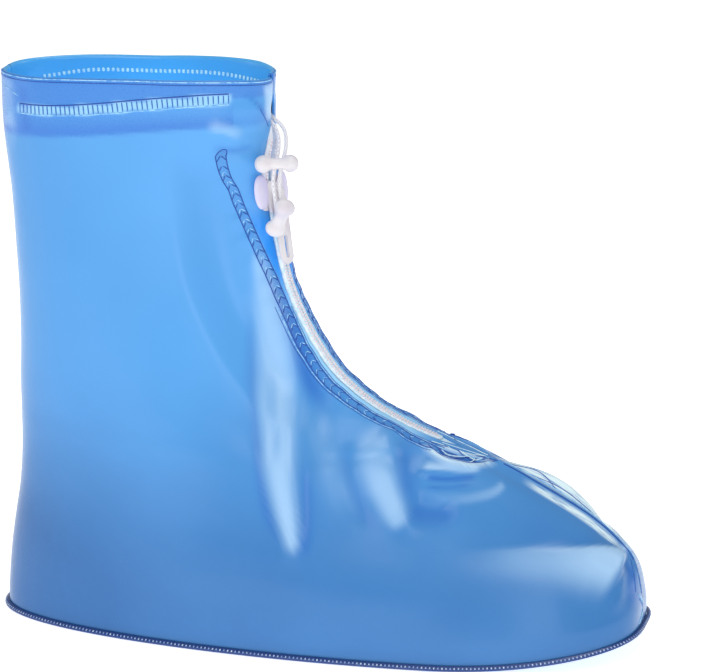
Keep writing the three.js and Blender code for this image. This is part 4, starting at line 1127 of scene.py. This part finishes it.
class SHOE_OT_stage(bpy.types.Operator):
    """Camera, pale floor and soft studio lights"""

    bl_idname = "shoe_cover.stage"
    bl_label = "Stage"

    def execute(self, context):
        scene = context.scene
        stage = scene.shoe_cover.stage
        level = math.cos(CAMERA_TILT)
        back = Vector((math.sin(CAMERA_TURN) * level, -math.cos(CAMERA_TURN) * level, math.sin(CAMERA_TILT)))
        right = Vector((math.cos(CAMERA_TURN), math.sin(CAMERA_TURN), 0))
        data = bpy.data.cameras.new("Camera")
        data.sensor_fit, data.sensor_width, data.lens = "HORIZONTAL", SENSOR, LENS
        camera = add_object("Camera", data)
        target = Vector(CAMERA_TARGET)
        camera.location = target + back * CAMERA_BACK
        aim = target + right * CAMERA_ASIDE + back.cross(right) * CAMERA_ABOVE - camera.location
        camera.rotation_euler = aim.to_track_quat("-Z", "Y").to_euler()
        scene.camera = camera

        mesh = bpy.data.meshes.new("floor")
        corners = [(x, y, FLOOR_Z) for x, y in ((-5, -5), (5, -5), (5, 6), (-5, 6))]
        mesh.from_pydata(corners, [], [(0, 1, 2, 3)])
        f = Finish("floor")
        shade = f.colour(f.noise(f.spot(), 30.0, 3.0) * 0.2, stage.floor, (0.96, 0.96, 0.96))
        mesh.materials.append(f.done(Base_Color=shade, Roughness=0.9, Emission_Color=(1, 1, 1, 1),
                                     Emission_Strength=FLOOR_GLOW))
        floor = add_object("floor", mesh)

        world = bpy.data.worlds.new("studio")
        world.use_nodes = True
        sky = world.node_tree.nodes["Background"]
        sky.inputs["Color"].default_value = SKY
        sky.inputs["Strength"].default_value = SKY_STRENGTH
        scene.world = world
        # Name, place, aim, width, height and power of each soft light
        lights = [
            ("key", (-0.4, -1.75, 1.35), (-0.02, 0, 0.12), 1.2, 1.3, stage.key),
            ("overhead", (0.15, 0.1, 1.7), (0.02, 0, 0.1), 1.2, 0.8, 9.0),
            ("front", (0.75, -1.7, 0.5), (0.03, 0, 0.1), 0.5, 1.2, 4.0),
            ("side", (-1.5, -0.5, 0.3), (0.0, 0, 0.12), 0.5, 1.1, 2.0),
            ("rim", (1.5, 0.55, 0.9), (0.0, 0, 0.12), 0.7, 1.2, 4.0),
        ]
        for name, at, aim_at, wide, tall, watts in lights:
            lamp = bpy.data.lights.new(name, "AREA")
            lamp.shape, lamp.size, lamp.size_y, lamp.energy = "RECTANGLE", wide, tall, watts
            holder = add_object(name, lamp)
            holder.location = at
            holder.rotation_euler = (Vector(aim_at) - Vector(at)).to_track_quat("-Z", "Y").to_euler()
        lamp = bpy.data.lights.new("inside", "POINT")
        lamp.energy, lamp.shadow_soft_size, lamp.color = stage.inside, 0.015, (0.8, 0.93, 1.0)
        add_object("inside", lamp).location = INSIDE_LAMP
        scene.view_settings.view_transform = "Standard"
        return {"FINISHED"}


def cord_piece(name, path, radius):
    """A braided cord along a path, with marks round it and along it for its strands."""
    points, faces = tube(path, radius, CORD_SIDES)
    rings = len(points) // CORD_SIDES
    along = run_along(points.reshape(rings, CORD_SIDES, 3)[:, 0]) * MM
    around = np.abs(np.arange(CORD_SIDES) / CORD_SIDES * 2 - 1)
    marks = {"around": np.tile(around, rings), "along": np.repeat(along, CORD_SIDES)}
    return make_piece(name, points, faces, [finish("white_cord")], marks=marks)


class SHOE_OT_drawstring(bpy.types.Operator):
    """Drawstring in the collar's tunnel and its two hanging tails with their toggles"""

    bl_idname = "shoe_cover.drawstring"
    bl_label = "Drawstring"

    def execute(self, context):
        diameter = context.scene.shoe_cover.cord.diameter
        radius = diameter / MM / 2
        profile = [(-a, r) for a, r in TOGGLE_HALF] + [(0, TOGGLE_WAIST)] + TOGGLE_HALF[::-1]
        for which, (spot, lean) in TOGGLES.items():
            middle = by_zip(*spot)
            axis = by_zip(*(a + b for a, b in zip(spot, lean))) - middle
            piece = make_piece(f"toggle_{which}", *turned(profile, middle, axis, 32, TOGGLE_FLAT),
                               [finish("white_plastic")])
            place(piece, "cover", "white_plastic", [f"cord_toggle_{which}"])
        for side, rows in TAILS.items():
            path = eased(through([by_zip(*row) for row in rows], 8), TAIL_STEP, TAIL_EASE)
            piece = cord_piece(f"tail_{side}", path, radius)
            place(piece, "cover", "white_cord", [f"drawstring_tail_{side}"])
            (path[0] * MM).tolist()
            (path * MM).tolist()
        right, left = (film(side, np.linspace(1, 0, 60), TUNNEL_Z, TUNNEL_DEPTH) for side, _ in SIDES)
        path = np.concatenate([right[:-1], [right[-1] * (1, 0, 1)], left[-2::-1]])
        place(cord_piece("tunnel_cord", path, radius), "cover", "white_cord", ["drawstring"])
        return {"FINISHED"}


def panel_rows():
    """Heights and depths down the outer and the inner face of the film, hem included."""
    fine = np.linspace(2.3, HEIGHT - ROLL_RISE, 1200)
    run = run_along(np.stack([fine, 0.7 * section(fine)[1]], -1))
    wall = np.interp(np.linspace(0, run[-1], 190), run, fine)
    roll = np.linspace(0, np.pi, 8)[1:-1]
    hem = through(HEM, 4)
    faces = []
    for depth, rise, half, layer in ((0.0, ROLL_RISE, ROLL_HALF, 2 * WALL), (WALL, 0.7, 0.3, WALL)):
        rows = [(z, depth) for z in wall]
        rows += [(HEIGHT - ROLL_RISE + rise * math.sin(a), ROLL_HALF - half * math.cos(a)) for a in roll]
        rows += [(HEIGHT - drop, layer + clear) for drop, clear in hem]
        faces.append(np.array(rows))
    return *faces, len(wall)


def film_marks(side, turns, heights):
    """Shares that colour the film at each point of a face: welds, hem, painted highlights and painted shade on
    the folds and gathers, and a painted gloss highlight by the toe seam.
    """
    turn, z = np.meshgrid(turns, heights, indexing="ij")
    flat = flat_skin(side, turn, z)
    spot = stand(flat)
    x, away = flat[..., 0], np.abs(flat[..., 1])
    middle, scale = track_line(side, heights)
    track = (turn - middle) * scale
    beyond = np.maximum(0, z - TRACK[-1, 0]) + np.maximum(0, 85 - z)
    clear = smooth(TRACK_HALF + 0.3, TRACK_HALF + 0.9, track) * smooth(90, 96, z)
    clear = clear * (1 - smooth(184, 197, z))
    ladder = z - ladder_height(x)
    in_ladder = smooth(LADDER_FROM - 3, LADDER_FROM, x) * (1 - smooth(LADDER_TO, LADDER_TO + 2, x))
    in_ladder = in_ladder * (1 - smooth(1.6, 2.1, np.abs(ladder)))
    edge = HEM_EDGE + HEM_CLIMB * smooth(-150, -30, x)
    hem = smooth(-1.0, 1.0, z - edge) * (1 - 0.75 * smooth(0, 1, (z - edge) / (240 - edge)))
    hem = np.where(ladder > 0, 0.8, hem * np.where(x > -34, 0.5, 1))
    # Painted highlights on the folds' crests and painted shade between them
    fold_highlight, deep = (np.clip(relief[side].at(spot[..., 0], spot[..., 2]), 0, 1) for relief in (FOLD_HIGHLIGHTS, FOLD_SHADE))
    gathers, foot = GATHERS[side].at(x, away), smooth(GATHERS_FROM, GATHERS_FULL, z)
    # Crests of the gathers, which take painted highlights
    top = np.clip(gathers / 1.6, 0, 1) * foot
    # Painted gloss highlight beside the toe seam, on the right also over the gathers' crests
    if side < 0:
        gloss_highlight = bell(away, 4.2, 2.1, 4) * smooth(92, 104, x) * (1 - smooth(133, 140, x))
        gloss_highlight = np.maximum(gloss_highlight, 0.75 * top)
    else:
        gloss_highlight = bell(away, 5.5, 6.0, 4) * smooth(79, 88, x) * (1 - smooth(136, 141, x))
    return {
        # pale is a painted highlight low on the strip beside the zip
        "track": np.hypot(track, beyond), "clear": clear, "pale": (1 - smooth(140, 172, z)) * clear, "hem": hem,
        # crease is painted shade in the hollows of the gathers
        "crease": np.clip(-gathers / 1.2, 0, 1) * foot, "fold_highlight": np.maximum(fold_highlight, 0.8 * top),
        "deep": deep * smooth(3, 7, away), "ladder": in_ladder, "gloss_highlight": gloss_highlight * (turn > 0.5) * (z < 92),
    }


class SHOE_OT_panels(bpy.types.Operator):
    """Two side panels of film with their folds, gathers and turned-in hem"""

    bl_idname = "shoe_cover.panels"
    bl_label = "Side panels"

    def execute(self, context):
        outer_rows, inner_rows, wall = panel_rows()
        turns = np.linspace(0, 1, 151)
        columns = len(outer_rows) - 1
        quads = (len(turns) - 1) * columns
        for side, name in SIDES:
            grids = []
            for rows in (outer_rows, inner_rows):
                turn, z = np.meshgrid(turns, rows[:, 0], indexing="ij")
                grids.append(film(side, turn, z, rows[:, 1]))
            points, faces = thick(*grids)
            slots = np.zeros(len(faces), dtype=np.int32)
            slots[:quads] = np.tile(np.arange(columns) >= wall + 2, len(turns) - 1)
            slots[quads:2 * quads] = 1
            marks = film_marks(side, turns, outer_rows[:, 0])
            marks = {key: np.tile(values.ravel(), 2) for key, values in marks.items()}
            piece = make_piece(f"panel_{name}", points, faces, [finish("blue_film"), finish("film_inside")],
                               slots, marks, crisp=60)
            place(piece, "cover", "blue_vinyl", [f"side_panel_{name}"])
        return {"FINISHED"}


def film_line(name, line, radius, tone):
    """A thin raised line on the film."""
    place(make_piece(name, *tube(line, radius, LINE_SIDES), [finish(tone)]), "cover", "blue_vinyl")


def film_row(name, path, out, tone, *sizes):
    """A row of small raised bars on the film."""
    place(row_along(name, path, out, finish(tone), *sizes), "cover", "blue_vinyl")


def collar_welds(side, name, step):
    """Ladder of pressed bars between two rails, and the one that shows inside the collar."""
    x = np.linspace(LADDER_FROM, LADDER_TO, 80)
    z = ladder_height(x)
    turn = turn_at_x(x, z)
    film_row(f"collar_ladder_{name}", film(side, turn, z), film_normal(side, turn, z), "weld_soft", step,
             *LADDER_BAR)
    for level, radius, tone in RAILS:
        rail = film(side, turn_at_x(x, z + level), z + level)
        film_line(f"collar_rail_{name}_{tone}", rail, radius, tone)
    x = np.linspace(-136, -32, 80)
    z = 243.6 - 2.5 * smooth(-110, -145, x) - 1.0 * smooth(-60, -30, x)
    turn = turn_at_x(x, z)
    film_row(f"collar_ladder_inside_{name}", film(side, turn, z, 2.5), -film_normal(side, turn, z), "weld_lit",
             step, *INSIDE_BAR)


def zip_welds(side, name, step):
    """Chevron track beside the zip with painted glints, its edge lines, and a painted highlight and painted
    shade along the collar's rim.
    """
    heights = np.linspace(217.0, 88, 150)
    turn = track_line(side, heights)[0]
    path, out = film(side, turn, heights), film_normal(side, turn, heights)
    film_row(f"zip_chevrons_{name}", path, out, "weld_line", step, *CHEVRON_BAR, CHEVRON_LEAN)
    film_row(f"zip_glints_{name}", path[8:], out[8:], "weld_pale", step, *GLINT_BAR, CHEVRON_LEAN)
    top = TRACK[-1, 0]
    down = np.linspace(top, 86, 220)
    cap = np.linspace(0, np.pi, 16)[1:-1]
    for label, outside, radius, tone in TRACK_LINES:
        half = TRACK_HALF + outside
        z = np.concatenate([down[::-1], top + half * 1.3 * np.sin(cap), down])
        shift = np.concatenate([np.full(220, half), half * np.cos(cap), np.full(220, -half)])
        turn, scale = track_line(side, z)
        turn = turn + shift / scale
        keep = turn < turn_at(side, slot_half(z) + 0.5, z)
        if outside:
            keep &= (z < 150) & (z > 88)
        for part, run in enumerate(runs_of(keep)):
            if len(run) > 4:
                film_line(f"zip_{label}_{name}_{part}", film(side, turn[run], z[run]), radius, tone)
    turn = np.linspace(0.03, 0.985, 140)
    for label, level, depth, radius, tone in RIM_LINES:
        film_line(f"{label}_{name}", film(side, turn, level, depth), radius, tone)


def crease_lines():
    """Lines of painted shade in the right panel's sharp creases, with painted highlights beside some: at the
    foot of the zip, at the collar's ends and on the toe's tip.
    """
    for number, crease in enumerate(CREASES):
        plan = through(crease, 8)
        # Painted shade along each crease, and a painted highlight along its crest
        film_line(f"gather_crease_{number}", over_plan(-1, plan), 0.26, "weld_line")
        crest_highlight = [(x + 0.2, max(away - 0.8, 0.6)) for x, away in plan[3:-3]]
        film_line(f"gather_crest_{number}", over_plan(-1, crest_highlight), 0.28, "weld_bright")
    for number, (tone, radius, points) in enumerate(COLLAR_LINES):
        x, z = through(points, 8).T
        film_line(f"collar_crease_{number}", film(-1, turn_at_x(x, z), z), radius, tone)
    for number, (tone, radius, points) in enumerate(TIP_LINES):
        away, z = through(points, 8).T
        film_line(f"toe_pleat_{number}", film(-1, turn_at(-1, away, z), z), radius, tone)


class SHOE_OT_welds(bpy.types.Operator):
    """Weld lines: ladder round the collar, chevron track beside the zip and band down the back"""

    bl_idname = "shoe_cover.welds"
    bl_label = "Welds"

    def execute(self, context):
        look = context.scene.shoe_cover.film
        for side, name in SIDES:
            collar_welds(side, name, look.ladder_step / MM)
            zip_welds(side, name, look.chevron_step / MM)
            if side < 0:
                crease_lines()
            for number, (_, tone, radius, points) in enumerate(row for row in DRAWN_LINES if row[0] == side):
                film_line(f"drawn_line_{name}_{number}", over_plan(side, through(points, 8)), radius, tone)
            z = height_of_front(np.linspace(*TOE_SEAM_X, 90))
            film_line(f"toe_seam_{name}", film(side, turn_at(side, TOE_SEAM_AWAY, z), z), TOE_SEAM_RADIUS,
                      "weld_line" if side < 0 else "weld_pale")
        path = film(-1, 0.0, np.linspace(*BACK_WELD_Z, 40)) * (1, 0, 1)
        out = np.tile((-1.0, 0, 0), (len(path), 1))
        film_row("back_weld", path, out, "weld_pale", BACK_WELD_STEP, *BACK_BAR)
        return {"FINISHED"}


def base_outline(side, turn):
    """The sole's edge in plan and its outward direction there."""
    spot, ahead, behind = (flat_skin(side, np.clip(turn + shift, 0, 1), np.zeros_like(turn))
                           for shift in (0, 0.003, -0.003))
    run = ahead - behind
    return spot, unit(np.stack([-run[..., 1], run[..., 0], 0 * turn], -1) * side)


def sprung(points):
    """Points of the sole raised by the toe's spring."""
    points = np.array(points, float)
    points[..., 2] += lift(points[..., 0], points[..., 2])
    return points


class SHOE_OT_sole(bpy.types.Operator):
    """Sole sheet and the welded rim round it"""

    bl_idname = "shoe_cover.sole"
    bl_label = "Sole"

    def execute(self, context):
        look = context.scene.shoe_cover.film
        turns = np.linspace(0.012, 0.988, 110)
        x, half, _ = flat_skin(1, turns, np.zeros_like(turns)).T
        across = np.linspace(-1, 1, 33)
        level = np.stack([np.repeat(x[:, None], len(across), 1), half[:, None] * across,
                          np.zeros((len(x), len(across)))], -1)
        points, faces = thick(*(sprung(level + (0, 0, height)) for height in (SOLE_THICK, 0.0)))
        place(make_piece("sole_sheet", points, faces, [finish("sole_vinyl")], crisp=50), "cover", "sole_vinyl",
              ["sole"])

        turns = np.linspace(0, 1, 150)
        right, left = base_outline(-1, turns), base_outline(1, turns[::-1])
        spot, out = (np.concatenate(pair) for pair in zip(right, left))
        up = np.array((0, 0, 1.0))
        rings = sprung(np.stack([spot + out * reach + up * height for reach, height in WELT_PROFILE], 1))
        faces = band_faces(len(rings), len(WELT_PROFILE), closed=True)
        place(make_piece("welt", rings.reshape(-1, 3), faces, [finish("welt_vinyl")], crisp=60), "cover",
              "welt_vinyl", ["sole_welt"])
        line, tilt = sprung(spot + out * TICK_REACH + up * TICK_HEIGHT), out * 0.6 + up * 0.8
        line, tilt = (np.concatenate([rows, rows[:1]]) for rows in (line, tilt))
        piece = row_along("welt_ticks", line, tilt, finish("weld_tick"), look.welt_step / MM, *TICK_BAR)
        place(piece, "cover", "welt_vinyl")
        return {"FINISHED"}


def zip_row(side, name, look):
    """Tape, glossy base and teeth of one side of the zip."""
    def beside(across, z, depth):
        return by_zip(z, -depth, side * across)

    heights = np.linspace(TAPE_END, ZIP_TOP, 140)
    layers = []
    for depth in TAPE_DEPTHS:
        inner, reach = spread(heights), slot_half(heights) - spread(heights)
        columns = [beside(inner + share * reach, heights, depth) for share in (0, 0.35, 0.7, 1.0)]
        columns += [film(side, turn, heights, depth) for turn in (0.99, 0.97, 0.95, 0.92)]
        layers.append(np.stack(columns, 1))
    place(make_piece(f"tape_{name}", *thick(*layers), [finish("zip_tape")], crisp=50), "cover", "zip_tape",
          [f"zip_tape_{name}"])

    bed_top = ZIP_TOP + BED_RUN_OUT
    rows = np.linspace(ZIP_BOTTOM, bed_top, 160)
    width = np.minimum(COIL_WIDTH, slot_half(rows) - spread(rows) - 0.1)
    rise = 1 - 0.8 * smooth(ZIP_TOP, bed_top, rows)
    loops = np.stack([beside(spread(rows) + a * width, rows, d * (rise if d < 0 else 1)) for a, d in BEAD], 1)
    faces = band_faces(len(rows), len(BEAD)) + end_faces(len(rows), len(BEAD))
    place(make_piece(f"coil_bed_{name}", loops.reshape(-1, 3), faces, [finish("zip_bed")], crisp=50), "cover",
          "zip_nylon", [f"zip_coil_{name}"])

    start = ZIP_BOTTOM + 0.6 + (TOOTH_STAGGER if side > 0 else 0.0)
    rows = np.linspace(start, ZIP_TOP - 0.8, 220)
    path = beside(spread(rows) + COIL_WIDTH * TOOTH_ASIDE, rows, -TOOTH_OUT)
    out = by_zip(rows, 1.0, 0.0) - by_zip(rows, 0.0, 0.0)
    piece = row_along(f"teeth_{name}", path, out, finish("zip_nylon"), look.tooth_step / MM, *TOOTH_BAR)
    place(piece, "cover", "zip_nylon")


def slider_wing(side, name):
    """Rounded wing at one side of the slider, in a darker copy of the plastic that paints shade."""
    across, up, out = (np.array(axis) for axis in SLIDER_AXES)
    aside, half = WINGS[side]
    angles = np.pi * np.arange(13) / 12
    lobe = [(-WING_HALF_HEIGHT * math.cos(a), math.sin(a) ** 0.8) for a in angles]
    points, faces = turned(lobe, np.zeros(3), (0, 0, 1), 24)
    middle = np.array(SLIDER_PLACE) + across * side * aside + up * WING_UP + out * WING_OUT
    points = middle + points[:, 2:3] * up + points[:, :1] * half * across + points[:, 1:2] * WING_RISE * out
    place(make_piece(f"slider_wing_{name}", points, faces, [finish("lilac_plastic")]), "cover", "white_plastic")


class SHOE_OT_zip(bpy.types.Operator):
    """Zip tapes, rows of teeth, slider and pull"""

    bl_idname = "shoe_cover.zip"
    bl_label = "Zip"

    def execute(self, context):
        for side, name in SIDES:
            zip_row(side, name, context.scene.shoe_cover.zip)
        for side, name in SIDES:
            slider_wing(side, name)
        place(rounded_copy("slider", "zip_slider", finish("white_plastic"), 0.45), "cover", "white_plastic",
              ["zip_slider"])
        place(rounded_copy("pull_tab", "zip_pull", finish("white_plastic"), 0.35), "pull", "white_plastic",
              ["zip_pull"])
        return {"FINISHED"}


class SHOE_PT_cover(bpy.types.Panel):
    """Steps and settings of the shoe cover"""

    bl_idname = "SHOE_PT_cover"
    bl_label = "Shoe cover"
    bl_space_type = "VIEW_3D"
    bl_region_type = "UI"
    bl_category = "Shoe cover"

    def draw(self, context):
        for step in STEPS:
            self.layout.operator(step.bl_idname)
        for group in ("film", "zip", "cord", "stage"):
            settings = getattr(context.scene.shoe_cover, group)
            box = self.layout.box()
            for key in settings.__annotations__:
                box.prop(settings, key)


GROUPS = (FilmSettings, ZipSettings, CordSettings, StageSettings, CoverSettings)
STEPS = (SHOE_OT_stage, SHOE_OT_drawstring, SHOE_OT_panels, SHOE_OT_welds, SHOE_OT_sole, SHOE_OT_zip)


def register():
    for item in (*GROUPS, *STEPS, SHOE_PT_cover):
        bpy.utils.register_class(item)
    bpy.types.Scene.shoe_cover = PointerProperty(type=CoverSettings)


def unregister():
    del bpy.types.Scene.shoe_cover
    for item in reversed((*GROUPS, *STEPS, SHOE_PT_cover)):
        bpy.utils.unregister_class(item)


def main():
    register()
    for step in STEPS:
        family, name = step.bl_idname.split(".")
        getattr(getattr(bpy.ops, family), name)()


if __name__ == "__main__":
    main()
